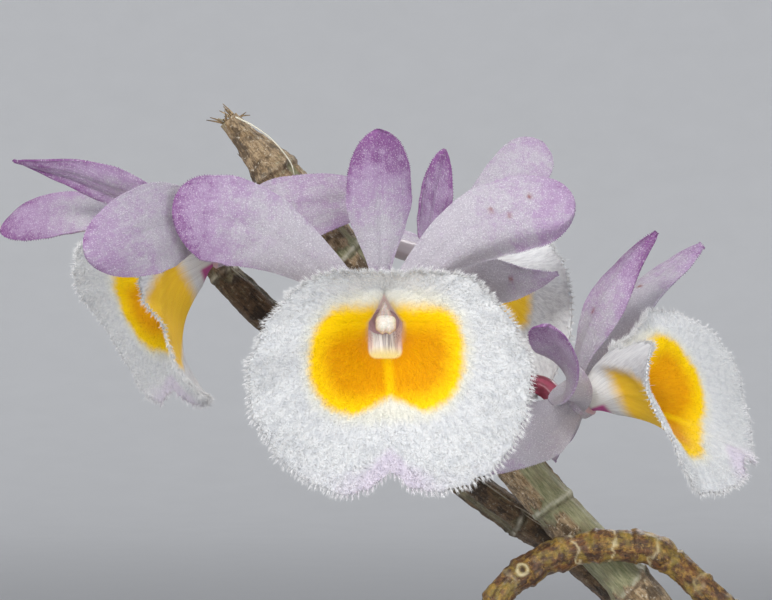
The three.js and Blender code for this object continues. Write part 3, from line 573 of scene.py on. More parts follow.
    # Painted light: a faint glow lifts the shade of the roof above the mouth, of the inside of the tube, and
    # of the yellow on the tube's outside.
    brow_painted_light = y.step(1.6, 4.0) * y.step(9.0, 6.5) * x.size().step(8.0, 1.5) * (1.0 - throat)
    glow = m.mix(brow_painted_light * (1.0 - front), "000000", "7f8080")
    glow = m.mix(throat * (1.0 - front), glow, tunnel)
    glow = m.mix(front * back_patch, glow, "9a7c00")
    return m.finish(
        colour, 0.55 - cells.step(0.3, 0.0) * 0.2, normal, IOR=1.4, Specular_IOR_Level=0.15,
        Subsurface_Weight=0.15, Subsurface_Radius=(1.0, 0.85, 0.8), Subsurface_Scale=0.0004,
        Emission_Color=glow, Emission_Strength=0.34,
    )


LIP = lip_material("lip", False)
LIP_HAIR = lip_material("lip hairs", True)


# %% [markdown]
# ## Column and flower stalk
# The column is the flower's one fused stamen and style. It is waxy and pinkish, with a cream cap
# over the pollen. The stalk is a translucent crimson that fades toward the bloom.

# %% Column and stalk materials
def column_material():
    m = Recipe("column")
    p = m.place()
    cap = m.value("cap")
    grain = m.noise(p, 3.0, 3.0, 0.6)
    body = m.mix(grain.step(0.3, 0.7), "b3a3a2", "c9bdb6")
    body = m.mix(m.value("share").step(0.5, 0.0) * 0.5, body, "a08490")
    cream = m.mix(grain.step(0.35, 0.75), "cfcabf", "e2dfd8")
    colour = m.mix(cap, body, cream)
    normal = m.bump(grain, 0.08, 0.6)
    return m.finish(colour, 0.34, normal, IOR=1.45, Subsurface_Weight=0.2, Subsurface_Scale=0.0005)


def stalk_material():
    m = Recipe("flower stalk")
    grain = m.place("grain")
    share = m.value("share")
    lines = m.noise(grain, 2.6, 3.0, 0.6)
    dots = m.noise(grain, 7.0, 2.0, 0.6)
    colour = m.mix(lines.step(0.35, 0.7), "74162f", "a23a56")
    colour = m.mix(share.step(0.35, 0.0) * 0.65, colour, "9d9a55")
    colour = m.mix(share.step(0.8, 1.0) * 0.3, colour, "c78a9c")
    colour = m.mix(dots.step(0.62, 0.8) * 0.35, colour, "6c1f36")
    colour = m.mix(m.value("pale") * 0.85, colour, "c3bcc0")
    normal = m.bump(lines + dots * 0.4, 0.1, 0.6)
    return m.finish(colour, 0.36 + dots * 0.1, normal, Coat_Weight=0.15, Coat_Roughness=0.2)


COLUMN = column_material()
STALK = stalk_material()


# %% [markdown]
# ## Canes
# A dry cane wears its old leaf bases as a papery sheath. Where that has torn away, the live stem
# shows, ribbed and grey-green. The mesh says where the sheath is and where its rings are, and the
# material draws the long fibres, the stains and the pale scars.

# %% Cane materials
def cane_material(name, pale, mid, dark, stem_light, stem_dark, mould):
    m = Recipe(name)
    grain = m.place("grain")
    sheath = m.value("sheath")
    ring = m.value("ring")
    fibres = m.noise(grain, 2.4, 4.0, 0.68)
    fine = m.noise(grain, 7.5, 3.0, 0.7)
    blotch = m.noise(m.place(), 0.34, 4.0, 0.65)
    speck = m.noise(m.place(), 1.7, 3.0, 0.7)
    dry = m.mix(fibres.step(0.28, 0.72), mid, pale)
    dry = m.mix(fine.step(0.5, 0.7) * 0.8, dry, dark)
    dry = m.mix(blotch.step(0.46, 0.6) * 0.75, dry, dark)
    dry = m.mix(speck.step(0.44, 0.3) * 0.5, dry, dark)
    dry = m.mix(speck.step(0.56, 0.72) * mould, dry, "e2d8c4")
    dry = m.mix(blotch.step(0.45, 0.3) * speck.step(0.4, 0.6) * 0.5, dry, "8b8a66")
    live = m.mix(fibres.step(0.3, 0.7), stem_dark, stem_light)
    live = m.mix(fine.step(0.5, 0.8) * 0.5, live, "cfccb6")
    live = m.mix(blotch.step(0.44, 0.66) * 0.7, live, "8a7f62")
    colour = m.mix(sheath, live, dry)
    colour = m.mix(ring * 0.85, colour, "e9e4d2")
    colour = m.mix(m.value("scar") * 0.8, colour, "4a3324")
    height = fibres * 1.4 + fine * 0.8 + speck * 0.5
    normal = m.bump(height, 0.34, 1.0)
    gloss = 0.55 + sheath * 0.25 - fine.step(0.5, 0.8) * 0.1
    return m.finish(colour, gloss, normal, Sheen_Weight=0.1)


CANE = cane_material("flowering cane", "c2a986", "7b6240", "3b2a17", "a5a27e", "6c7048", 0.8)
# The back cane takes the same material in much darker colours: painted shade for the shadow it stands in
# behind the flowering cane.
BACK_CANE_SHADED = cane_material("back cane", "80664a", "40301f", "1f160e", "5f5739", "3c3824", 0.25)


def old_cane_material():
    m = Recipe("old cane")
    grain = m.place("grain")
    p = m.place()
    ring = m.value("ring")
    furrow = m.noise(grain, 1.1, 4.0, 0.65)
    fine = m.noise(grain, 5.0, 3.0, 0.7)
    blotch = m.noise(p, 0.4, 4.0, 0.6)
    crust = m.noise(p, 2.2, 4.0, 0.75)
    patchy = m.noise(p, 0.9, 4.0, 0.65)
    colour = m.mix(furrow.step(0.32, 0.68), "37200e", "71461b")
    colour = m.mix(blotch.step(0.45, 0.62) * 0.85, colour, "7c6a26")
    colour = m.mix(patchy.step(0.5, 0.64) * 0.6, colour, "a98436")
    colour = m.mix(patchy.step(0.47, 0.36) * 0.8, colour, "3a1f0e")
    colour = m.mix(fine.step(0.56, 0.78) * 0.4, colour, "c2a15a")
    colour = m.mix(crust.step(0.54, 0.64) * blotch.step(0.62, 0.44) * 0.9, colour, "1e130a")
    colour = m.mix(crust.step(0.38, 0.28) * 0.6, colour, "d5c59a")
    colour = m.mix(ring * 0.75, colour, "dccfa6")
    colour = m.mix(m.value("scar") * 0.85, colour, "3a2412")
    normal = m.bump(furrow * 1.4 + fine * 0.6 + crust * 0.7, 0.25, 0.9)
    return m.finish(colour, 0.42 + crust.step(0.5, 0.7) * 0.3, normal, Coat_Weight=0.12, Coat_Roughness=0.3)


OLD_CANE = old_cane_material()


# %% [markdown]
# ## Clay, bark and roots
# The pot is plain fired clay, finely grained, with a bloom of lime where water dries through it.
# The bark is broken pine bark, and the roots wear a spongy silver skin.

# %% Clay, bark and root materials
def clay_material():
    m = Recipe("terracotta")
    p = m.place()
    flat = p.vector("MULTIPLY", (0.25, 0.25, 2.4))
    z = p.part("z")
    turned_lines = m.noise(flat, 0.55, 3.0, 0.6)
    grain = m.noise(p, 2.6, 4.0, 0.7)
    grit = m.cells(p, 1.6)
    cloud = m.noise(p, 0.035, 5.0, 0.6)
    drip = m.noise(p.vector("MULTIPLY", (1.0, 1.0, 0.3)), 0.16, 4.0, 0.65)
    wear = m.value("wear")
    colour = m.mix(cloud.step(0.35, 0.68), "a9532f", "c8714a")
    colour = m.mix(turned_lines.step(0.42, 0.7) * 0.35, colour, "d68b62")
    colour = m.mix(grain.step(0.5, 0.75) * 0.4, colour, "8f4325")
    colour = m.mix(grit.step(0.16, 0.05) * 0.5, colour, "6f3420")
    lime = (drip + cloud * 0.4).step(0.66, 0.9) * z.step(100.0, 30.0)
    foot = (z + drip * 14.0).step(20.0, 3.0)
    colour = m.mix(lime * 0.65, colour, "ddc9b4")
    colour = m.mix(foot * 0.4, colour, "8a5a40")
    colour = m.mix(wear * grain.step(0.35, 0.65) * 0.6, colour, "e2a581")
    normal = m.bump(grain * 0.6 + turned_lines * 1.2 - grit.step(0.16, 0.04) * 0.8, 0.3, 0.55)
    return m.finish(colour, 0.82 + lime * 0.1, normal)


def bark_material():
    m = Recipe("bark")
    p = m.place()
    chip = m.place("chip")
    own = m.value("own")
    layer = m.noise(chip.vector("MULTIPLY", (0.3, 0.3, 2.2)), 0.9, 4.0, 0.65)
    grain = m.noise(chip.vector("MULTIPLY", (0.5, 2.2, 2.2)), 0.9, 4.0, 0.7)
    grit = m.noise(p, 2.4, 4.0, 0.7)
    colour = m.mix(layer.step(0.34, 0.68), "3c2415", "8a5c38")
    colour = m.mix(grain.step(0.5, 0.75) * 0.6, colour, "b98a5c")
    colour = m.mix(own.step(0.55, 1.0) * 0.5, colour, "6e4226")
    colour = m.mix(own.step(0.4, 0.0) * 0.55, colour, "2b1c12")
    colour = m.mix(grit.step(0.6, 0.78) * 0.4, colour, "cbb08a")
    normal = m.bump(layer * 1.2 + grain + grit * 0.6, 0.6, 0.9)
    return m.finish(colour, 0.88, normal)


def root_material():
    m = Recipe("roots")
    grain = m.place("grain")
    p = m.place()
    wood = m.value("wood")
    lines = m.noise(grain, 1.7, 4.0, 0.65)
    cloud = m.noise(p, 0.18, 4.0, 0.6)
    fine = m.noise(p, 3.0, 3.0, 0.7)
    skin = m.mix(lines.step(0.3, 0.7), "b9bba6", "e2e2d4")
    skin = m.mix(cloud.step(0.5, 0.7) * 0.6, skin, "a08a66")
    skin = m.mix(fine.step(0.58, 0.8) * 0.35, skin, "8d8f76")
    bark = m.mix(lines.step(0.32, 0.7), "5b4426", "a58a57")
    bark = m.mix(fine.step(0.55, 0.78) * 0.5, bark, "d6c79e")
    colour = m.mix(wood, skin, bark)
    colour = m.mix(m.value("ring") * 0.8, colour, "ddd2b2")
    normal = m.bump(lines * 1.3 + fine * 0.5, 0.3, 0.8)
    return m.finish(colour, 0.75, normal)


CLAY = clay_material()
BARK = bark_material()
ROOTS = root_material()
print("materials:", len(bpy.data.materials))

# %% [markdown]
# ## The measures of the plant
# These are the solid model's own measures, so that each fine piece lies where its solid lies. A
# bloom is given by its hub, the way it faces, and where its sepals and petals reach to.

# %% Measures of the blooms
SEAT_GAP = 0.35
LIP_WALL = 0.7
TUBE_SHARE = 0.24
HUB_LENGTH = 4.2
LIP_REACH = [27.2, 28, 27.8, 25.3, 21.6, 17.6, 14.3, 10.9, 8.9, 8.3]
FORMS = {
    "petal": (0.34, 0.74, 2.7, 0.5),
    "dorsal": (0.36, 0.64, 2.0, 0.6),
    "lateral": (0.55, 0.4, 1.5, 0.8),
}


def blade(kind, tip, via, face, form, cup, wide, twist, tint, roll=(0, 0), specks=()):
    """A sepal or petal: its shape as in the solid model, then how lilac it is at its foot and tip."""
    return dict(
        kind=kind, tip=tip, via=via, face=face, form=form or FORMS[kind], cup=cup, wide=wide, twist=twist,
        tint=tint, roll=roll, specks=specks,
    )


BLOOMS = {
    "centre": dict(
        node=2, hub=(-94.6, -11, 272.6), turn=4, rise=0, roll=0, size=1,
        trim=(0, 0, 0, 0), bend=(-0.05, 0, -0.03, 0, 0, 0), wave=0.4, phase=0.6,
        stalk_rise=0, stalk_pale=0, notch=1, fine=True, detail=(236, 70, 52000, 10500),
        blades=[
            blade(
                "dorsal", (-0.4, -7, 29.6), (-0.4, -2.5, 15.7), (0.2, -0.96, 0.19),
                (0.29, 0.64, 2.2, 0.55, 0.17),
                -0.16, 1.08, 0, (0.05, 1.05),
            ),
            blade(
                "petal", (-32, -9.5, 15.5), (-18.5, -5.5, 19), (-0.11, -0.99, 0.03), (0.34, 0.7, 3.08, 0.51),
                -0.1, 1.07, 0, (0.0, 0.78),
            ),
            blade(
                "petal", (29.7, -7, 17.2), (12.2, -5, 20.1), (0.01, -0.98, 0.22), (0.41, 0.69, 2.7, 0.47),
                -0.16, 0.92, 0, (-0.05, 0.5), (0, -0.5), ((0.62, -0.2), (0.7, 0.1), (0.8, -0.35)),
            ),
            blade(
                "lateral", (-16, 12, -18), None, (-0.4, -1, -0.3), None,
                -0.12, 1, 0, (0.1, 0.5),
            ),
            blade(
                "lateral", (9, 12, -23), None, (0.3, -1, -0.3), None,
                -0.12, 1, 0, (0.1, 0.5),
            ),
        ],
    ),
    "left": dict(
        node=0, hub=(-122.5, 2, 283.6), turn=-72.3, rise=-30.4, roll=-20.3, size=0.87,
        trim=(-0.12, -0.1, 0.04, -0.01), bend=(-0.02, -0.07, -0.17, -0.01, 0.07, -0.12),
        wave=1.25, phase=2.67,
        stalk_rise=0, stalk_pale=0, notch=0, fine=False, detail=(150, 44, 17500, 5200),
        blades=[
            blade(
                "dorsal", (-30.6, -3, 14.4), (-13.1, -3, 12.1), (0.47, -0.36, -0.81),
                (0.36, 0.54, 1.38, 0.64),
                -0.3, 0.83, 0, (0.45, 0.9), (0.4, 0),
            ),
            blade(
                "petal", (-17.3, -26.5, -1.1), (-0.8, -23.5, 7.9), (0.61, -0.79, -0.05),
                (0.34, 0.65, 2.32, 0.5),
                -0.12, 1.29, 0, (0.05, 0.5),
            ),
            blade(
                "petal", (-34.3, 14, 3.6), (-20.9, 9, 10.5), (-0.11, -0.86, 0.5), (0.33, 0.69, 2.25, 0.5),
                -0.1, 0.72, 0, (0.0, 0.9),
            ),
            blade(
                "lateral", (32.4, -8, 8.4), (13.1, -9, 9.6), (0.03, -1, -0.09), (0.55, 0.41, 1.36, 0.81),
                -0.1, 1.29, 0, (0.25, 0.5),
            ),
            blade(
                "lateral", (11.3, 21, 5.2), None, (0.6, -0.3, -0.6), None,
                -0.1, 1, 0, (0.2, 0.5),
            ),
        ],
    ),
    "rear": dict(
        node=1, hub=(-84.1, 17, 282.2), turn=110, rise=-14, roll=0, size=0.85,
        trim=(0, 0, -0.02, 0), bend=(0, 0, -0.08, 0, 0, 0), wave=0.7, phase=1.2,
        stalk_rise=0, stalk_pale=1, notch=1, fine=False, detail=(130, 40, 8000, 4000),
        blades=[
            blade(
                "dorsal", (0, 16, 18.9), (-4.2, 8, 0.6), (0.68, -0.47, 0.57), (0.36, 0.59, 2.18, 0.56),
                0.1, 0.82, 0, (0.6, 0.9),
            ),
            blade(
                "petal", (16.3, 16, 20.2), (7.6, 12, 10.5), (-0.14, -0.95, 0.28), (0.25, 0.79, 2.53, 0.55),
                -0.1, 0.91, 0, (0.1, 0.3),
            ),
            blade(
                "petal", (-12.4, 20, 6.6), (-7.4, 11, 2.6), (0.3, -0.7, 0.5), None,
                -0.1, 0.9, 0, (0.1, 0.4),
            ),
            # This sepal's tint starts below zero, so it is paler than the rest: painted light that lifts the
            # shade it lies in under the centre petal.
            blade(
                "lateral", (17.1, -22, -2.1), (5, -17, -5.5), (0.33, 0.88, 0.35), (0.55, 0.4, 1.51, 0.8),
                0.2, 0.96, 0, (-0.2, 0.35), (0, 0), ((0.7, 0.2),),
            ),
            blade(
                "lateral", (4, 10, -23), None, (0.9, 0.2, -0.2), None,
                -0.1, 1, 0, (0.1, 0.4),
            ),
        ],
    ),
    "right": dict(
        node=3, hub=(-62, 0, 260.7), turn=65.1, rise=17.7, roll=35.5, size=0.92,
        trim=(-0.03, -0.04, -0.04, 0.16), bend=(-0.08, -0.19, 0.15, 0.07, 0.06, -0.03),
        wave=1.29, phase=2.25,
        stalk_rise=8, stalk_pale=0, notch=0, fine=False, detail=(160, 46, 18500, 5500),
        blades=[
            blade(
                "dorsal", (10.6, -6, 25.8), (0.2, -8, 15.2), (0.62, 0.7, -0.35), (0.36, 0.52, 1.62, 0.65),
                0.12, 0.82, 0, (0.15, 1.0), (0, 0), ((0.45, 0.3),),
            ),
            blade(
                "petal", (19.5, 16, 24.2), (3.5, 10, 14.3), (-0.48, -0.52, 0.71), (0.31, 0.52, 1.6, 0.7),
                -0.14, 0.91, 0, (-0.3, 0.55), (0, 0), ((0.66, -0.2),),
            ),
            blade(
                "petal", (-7.2, -28.1, 11.5), (-2.6, -12.9, -1.1), (0.21, 0.96, 0.16),
                (0.7, 0.78, 2.36, 0.32),
                0.31, 0.72, 151, (0.0, 0.7),
            ),
            blade(
                "lateral", (-15.8, -10, -11.8), (-7.4, -7, -4.9), (0, -0.99, 0.16), (0.48, 0.41, 1.7, 0.78),
                -0.14, 0.98, 0, (-0.05, 0.2),
            ),
            blade(
                "lateral", (-4.2, 19, -10.7), None, (0.5, 0.3, -0.8), None,
                -0.1, 1, 0, (0.1, 0.4),
            ),
        ],
    ),
}


def with_axes(bloom):
    """The bloom's own directions: forward out of its mouth, up, and right."""
    turn, rise = math.radians(bloom["turn"]), math.radians(bloom["rise"])
    forward = np.array([math.sin(turn) * math.cos(rise), -math.cos(turn) * math.cos(rise), math.sin(rise)])
    up = unit(np.array([0, 0, 1.0]) - forward * forward[2])
    up = turned(up, forward, math.radians(bloom["roll"]))
    hub = np.array(bloom["hub"], dtype=float)
    return dict(bloom, hub=hub, forward=forward, up=up, right=np.cross(up, forward))


BLOOMS = {name: with_axes(bloom) for name, bloom in BLOOMS.items()}
print("blooms:", ", ".join(BLOOMS))

# %% [markdown]
# ## The lips
# One formula gives the whole lip: rows run from the foot of the tube out to the margin, and each
# row goes once round. The margin is cut finely and unevenly, the upper half of the mouth narrows
# to a slit, and where the two edges of the rolled lip meet at its top, one lies over the other.

# %% Shape of a lip
def lip_reach(angle):
    steps = np.minimum(np.abs(angle) / math.radians(20), 8.999)
    k = np.floor(steps).astype(int)
    x = steps - k
    reach = np.array(LIP_REACH, dtype=float)

    def at(i):
        return reach[np.where(i < 0, -i, np.where(i > 9, 18 - i, i))]

    a, b, c, d = at(k - 1), at(k), at(k + 1), at(k + 2)
    curve = b + 0.5 * x * (c - a + x * (2 * a - 5 * b + 4 * c - d + x * (3 * (b - c) + d - a)))
    return curve - 3.4 * np.exp(-((angle / 0.12) ** 2))


def waves_round(shares, angle):
    """A sum of waves round the mouth: the shares of cos and sin of one turn, then of two, then of three."""
    return sum(share * (np.sin if i % 2 else np.cos)((i // 2 + 1) * angle) for i, share in enumerate(shares))


def lip_grid(bloom, columns, rows, seed):
    """The lip's points, and for each point its flat place and its polar place."""
    u = np.linspace(0, 1, columns, endpoint=False)[None]
    few = rows // 5
    to_mouth = np.linspace(0, TUBE_SHARE, few, endpoint=False)
    v = np.concatenate([to_mouth, np.linspace(TUBE_SHARE, 1, rows - few)])[:, None]
    angle = (2 * u - 1) * np.pi + 0 * v
    v = v + 0 * u
    below, tall = np.maximum(0, np.cos(angle)), np.cos(angle) ** 2
    throat, throat_at = 2.9 + 1.9 * tall, 7 - 4 * tall
    tube = np.minimum(v / TUBE_SHARE, 1)
    k = np.clip((v - TUBE_SHARE) / (1 - TUBE_SHARE), 0, 1)
    ways = np.stack([np.cos(angle), np.sin(angle), 0 * angle + seed * 3.7], -1)
    teeth = lumps(ways * 10, 0.55, seed) * 0.55 + lumps(ways * 10, 0.2, seed + 5) * 0.5
    teeth = teeth + lumps(ways * 4, 1.0, seed + 9) * 0.5
    reach = lip_reach(angle) * (1 + waves_round(bloom["trim"], angle)) - 0.95
    reach = reach + teeth * smooth((k - 0.7) / 0.3) * 0.7
    flare = (reach - throat) * k
    out = np.where(v < TUBE_SHARE, lerp(2.9 - 0.7 * tall, throat, tube), throat + flare)
    dish = (15 - throat_at) * (1 - np.exp(-flare / 6)) + 0.14 * flare
    ahead = throat_at * tube + np.where(v < TUBE_SHARE, 0, dish)
    wave = bloom["wave"] * k**3 * np.sin(5 * angle + bloom["phase"])
    ahead += 10 * k**2 * waves_round(bloom["bend"], angle) + wave
    crimp = lumps(ways * 6, 1.5, seed + 3) * 0.55 + lumps(ways * 6, 0.7, seed + 4) * 0.3
    ahead += crimp * smooth((k - 0.35) / 0.65)
    laid = np.stack([out * np.cos(angle), out * np.sin(angle), 0 * out + seed], -1)
    ahead += rough(laid, 2.6, seed) * 0.22 * smooth(k * 3)
    seam = np.exp(-(((np.abs(angle) - np.pi) / 0.35) ** 2)) * smooth((v - 0.1) / 0.2)
    ahead += seam * np.where(angle > 0, 0.3, -0.05)
    upper = np.maximum(0, -np.cos(angle))
    pinch = 1 - 0.82 * upper**1.1 * smooth((v - 0.1) / 0.12) * (1 - smooth((k - 0.02) / 0.4))
    x, y = out * np.sin(angle) * pinch, -out * np.cos(angle)
    s = bloom["size"]
    points = bloom["hub"] + bloom["right"] * (s * x)[..., None] + bloom["up"] * (s * y)[..., None]
    points = points + bloom["forward"] * (s * ahead + SEAT_GAP + LIP_WALL / 2)[..., None]
    flat = np.stack([x, y, ahead], -1)
    polar = np.stack([np.cos(angle) * 9, np.sin(angle) * 9, out * 0.22 + seed], -1)
    thick = lerp(0.62, 0.3, smooth((k - 0.3) / 0.7)) * np.ones_like(out)
    violet = np.exp(-((angle / 0.22) ** 2)) * smooth((k - 0.72) / 0.2)
    violet = violet + 0.3 * below * smooth((k - 0.7) / 0.3)
    inside = 1 - smooth((v - 0.2) / 0.07)
    notch = bloom["notch"] + 0 * out
    return points, dict(flat=flat, polar=polar, violet=violet, inside=inside, notch=notch), thick, k


def lip_and_hairs(name, bloom, seed):
    columns, rows, on_face, on_edge = bloom["detail"]
    grid, values, thick, k = lip_grid(bloom, columns, rows, seed)
    heap = Heap()
    heap.sheet(grid, thick, True, **values)
    heap.object(name + "_lip", LIP, "lip", [name + "_bloom_lip"])
    random = np.random.default_rng(seed)
    inward = -grid_normals(grid, True)
    spread = np.gradient(grid, axis=0)
    place = scatter(grid, on_face, seed, smooth((k - 0.02) / 0.2), True)
    root, face = sample(grid, place, True), unit(sample(inward, place, True))
    outward, far = unit(sample(spread, place, True)), sample(k, place, True)
    flat = sample(values["flat"], place, True)
    across = (np.maximum(np.abs(flat[:, 0]) - 4.6, 0) / 7.3) ** 2.1
    gold = (across + np.abs((flat[:, 1] + 5.3) / 8.7) ** 2.3) ** 0.45
    shaggy = smooth((gold - 0.85) / 0.3)
    way = face + outward * lerp(0.9, 0.25, shaggy)[:, None] + random.normal(size=root.shape) * 0.24
    length = lerp(0.2, lerp(0.22, 0.4, far**2), shaggy) * (0.5 + 0.8 * random.random(on_face))
    # A few bright hairs are wider, and their tips are painted bright: painted glints.
    bright = random.random(on_face) ** 3
    width = lerp(0.036, 0.04, shaggy) * (0.8 + 0.9 * bright)
    root = root + face * (sample(thick, place, True)[:, None] * 0.45)
    rim_at = random.integers(0, columns, on_edge)
    rim_side = random.choice([-0.45, 0.0, 0.45], on_edge)
    rim_row = np.maximum(rows - 1 - random.integers(0, 2, on_edge), 0)
    rim_root = grid[rim_row, rim_at] + inward[rim_row, rim_at] * (rim_side * thick[rim_row, rim_at])[:, None]
    rim_way = unit(spread[rim_row, rim_at]) + inward[rim_row, rim_at] * rim_side[:, None] * 0.7
    lean = lumps(np.stack([rim_at * 0.4, rim_side, 0.0 * rim_at], -1), 1.0, seed + 2) * 0.6
    beside = unit(np.roll(grid, -1, axis=1) - np.roll(grid, 1, axis=1))[rim_row, rim_at]
    rim_way = rim_way + beside * lean[:, None] + random.normal(size=rim_way.shape) * 0.22
    roots = np.concatenate([root, rim_root])
    ways = np.concatenate([way, rim_way])
    lengths = np.concatenate([length, 0.4 + 1.05 * random.random(on_edge) ** 1.6])
    widths = np.concatenate([width, 0.042 + 0.02 * random.random(on_edge)])
    painted_glint = np.concatenate([0.25 + 0.75 * bright, 0.3 + 0.7 * random.random(on_edge)])
    points, faces, owner = cones(roots, ways, lengths, widths, seed)
    kept = {}
    for key, value in values.items():
        both = np.concatenate([sample(value, place, True), value[rim_row, rim_at]])
        kept[key] = both[owner]
    fuzz = Heap()
    # The tip value carries how strongly each hair's tip is painted bright, as a painted glint.
    tip = np.tile([0.0, 0.0, 0.0, 1.0], len(roots)) * painted_glint[owner]
    fuzz.add(points, faces, front=np.zeros(len(points)), tip=tip, **kept)
    fuzz.object(name + "_lip_hairs", LIP_HAIR, "lip", flat=True)


for number, (name, bloom) in enumerate(BLOOMS.items()):
    lip_and_hairs(name, bloom, 11 + number)
print("lips and their hairs:", sum(TALLY.values()), "triangles")

# %% [markdown]
# ## Sepals and petals
# Each is a strip that follows a curved middle line. Its width grows from a narrow foot to its
# widest place and closes to the tip, and it is cupped, rolled or waved on its way. All five stand
# on one small hub, so the five and the hub make one piece.

# %% Shape of a petal
def half_width(form, s):
    foot, widest, tip_power, tip_shape, *claw = form
    start = sum(claw)
    near = foot + (1 - foot) * smooth((s - start) / (widest - start))
    close = np.clip((s - widest) / (1 - widest), 0, 1)
    return np.where(s < widest, near, np.maximum(0.09, (1 - close**tip_power) ** tip_shape))


def blade_grid(bloom, b, columns, rows, seed):
    tip, forward, size = np.array(b["tip"], dtype=float), bloom["forward"], bloom["size"]
    outward = unit(tip - forward * np.dot(tip, forward))
    foot = bloom["hub"] + outward * size * 1.7 - forward * 1.9
    end = bloom["hub"] + tip
    middle = (foot + end) / 2 if b["via"] is None else bloom["hub"] + np.array(b["via"], dtype=float)
    s = (1 - (1 - np.linspace(0, 1, rows)) ** 1.25)[:, None]
    across = np.sin(np.linspace(-1, 1, columns) * np.pi / 2)[None]
    line = foot * (1 - s) ** 2 + middle * 2 * s * (1 - s) + end * s**2
    way = unit((middle - foot) * (1 - s) + (end - middle) * s)
    face, twist = unit(b["face"]), math.radians(b["twist"]) * smooth((s - 0.12) / 0.7)
    along_way = way * (way @ face)[:, None]
    face = face * np.cos(twist) + np.cross(way, face) * np.sin(twist) + along_way * (1 - np.cos(twist))
    side = unit(np.cross(way, face))
    normal = np.cross(side, way)
    width = size * (12.5 if b["kind"] == "petal" else 10) * b["wide"]
    waver = lumps(np.stack([s[:, 0] * 6, 0 * s[:, 0] + seed, 0 * s[:, 0]], -1), 1.0, seed)[:, None]
    at_edge = np.stack([s * 14 + 0 * across, across * 2 + 0 * s, 0 * s * across + seed], -1)
    edge = lumps(at_edge, 1.0, seed + 2)
    half = 0.5 * width * half_width(b["form"], s)
    reach = half * (1 + 0.02 * waver + 0.022 * edge * np.abs(across) ** 3)
    cupped = b["cup"] * half * (across**2 - 0.3) * smooth(s / 0.3)
    flat = np.stack([across * half, s * np.linalg.norm(tip) + 0 * across, 0 * s * across + seed], -1)
    swell = rough(flat, 5.0, seed) * 0.28 + rough(flat, 1.8, seed + 4) * 0.07
    groove = -0.22 * np.exp(-((across * half / 0.55) ** 2)) * smooth(s / 0.2) * smooth((1 - s) / 0.3)
    wave = 0.4 * np.abs(across) ** 3 * np.sin(s * 9 + across * 2 + seed) * smooth(s / 0.4)
    left, right = b["roll"]
    rolled = left * smooth((-across - 0.45) / 0.55) ** 2 + right * smooth((across - 0.45) / 0.55) ** 2
    lift = cupped + (swell + groove + wave) * smooth(s / 0.12) + rolled * half * smooth(s / 0.3)
    points = line[:, None] + side[:, None] * (reach * across)[..., None] + normal[:, None] * lift[..., None]
    low, high = b["tint"]
    margin = np.abs(across) ** 4 * smooth(s / 0.5)
    tint = low + (high - low) * smooth((s - 0.3) / 0.7) ** 1.2
    tint = tint + 0.3 * margin * high + 0.3 * high * smooth((s - 0.88) / 0.12)
    tint = tint * smooth((s + 0.05) / 0.35) + 0 * across
    green = smooth((0.2 - s) / 0.2) * 0.5 + 0 * across
    speck = np.zeros_like(flat[..., 0])
    for at, off in b["specks"]:
        spot = (s - at) ** 2 * np.dot(tip, tip) + (across * half - off * half) ** 2
        speck = np.maximum(speck, np.exp(-spot / 0.12))
    thick = (0.74 - 0.34 * smooth((np.abs(across) - 0.2) / 0.8)) * (1 - 0.25 * smooth((s - 0.6) / 0.4))
    return points, dict(leaf=flat, tint=tint, green=green, speck=speck), thick, s * np.ones_like(across)


def sepals_and_petals(name, bloom, seed):
    heap, fuzz = Heap(), Heap()
    random = np.random.default_rng(seed)
    size, forward, hub = bloom["size"], bloom["forward"], bloom["hub"]
    for number, b in enumerate(bloom["blades"]):
        columns, rows = (34, 84) if bloom["fine"] else (26, 60)
        if b["kind"] == "lateral" and bloom["fine"]:
            columns, rows = 18, 44
        grid, values, thick, s = blade_grid(bloom, b, columns, rows, seed + number)
        heap.sheet(grid, thick, **values)
        count = 900 if bloom["fine"] else 500
        row = np.minimum((rows * (0.3 + 0.7 * random.random(count) ** 0.7)).astype(int), rows - 1)
        edge = random.choice([0, columns - 1], count)
        top = random.random(count) < 0.3
        row = np.where(top, rows - 1, row)
        edge = np.where(top, random.integers(0, columns, count), edge)
        ahead = unit(np.gradient(grid, axis=0))[row, edge]
        side = unit(np.gradient(grid, axis=1))[row, edge] * np.where(edge == 0, -1, 1)[:, None]
        way = np.where(top[:, None], ahead, side + ahead * 0.4) + random.normal(size=(count, 3)) * 0.35
        length = (0.14 + 0.2 * random.random(count)) * (0.5 + 0.5 * s[row, edge])
        points, faces, owner = cones(grid[row, edge], way, length, np.full(count, 0.05), seed + number)
        kept = {key: value[row, edge][owner] for key, value in values.items()}
        fuzz.add(points, faces, front=np.ones(len(points)), **kept)
    back = np.linspace(0, 1, 14)
    ahead = -HUB_LENGTH + HUB_LENGTH * back
    radius = np.interp(ahead, [-HUB_LENGTH, -3.4, -1.6, 0], [1.6, 2.9, 3.6, 3.3]) * size
    radius[0] *= 0.8
    spine = hub + forward * ahead[:, None]
    line, length = through([spine[0], (spine[0] + spine[-1]) / 2, spine[-1]])
    p, angle = rings(line, length, back * length[-1], radius[:, None], 36)
    lobes = 1 + 0.05 * np.cos(5 * angle)[None]
    p = spine[:, None] + (p - p.mean(1, keepdims=True)) * lobes[..., None]
    flat = np.stack([p[..., 0] - hub[0], p[..., 2] - hub[2], p[..., 1]], -1)
    face = smooth((back - 0.96) / 0.04)[:, None] + np.zeros(p.shape[:2])
    heap.tube(p, leaf=flat, tint=np.full(p.shape[:2], 0.35), green=np.full(p.shape[:2], 0.5), hub=face)
    node = name + "_bloom_sepals_and_petals"
    heap.object(name + "_sepals_and_petals", PETAL, "sepal_and_petal", [node])
    fuzz.object(name + "_petal_fuzz", PETAL, "sepal_and_petal", flat=True)


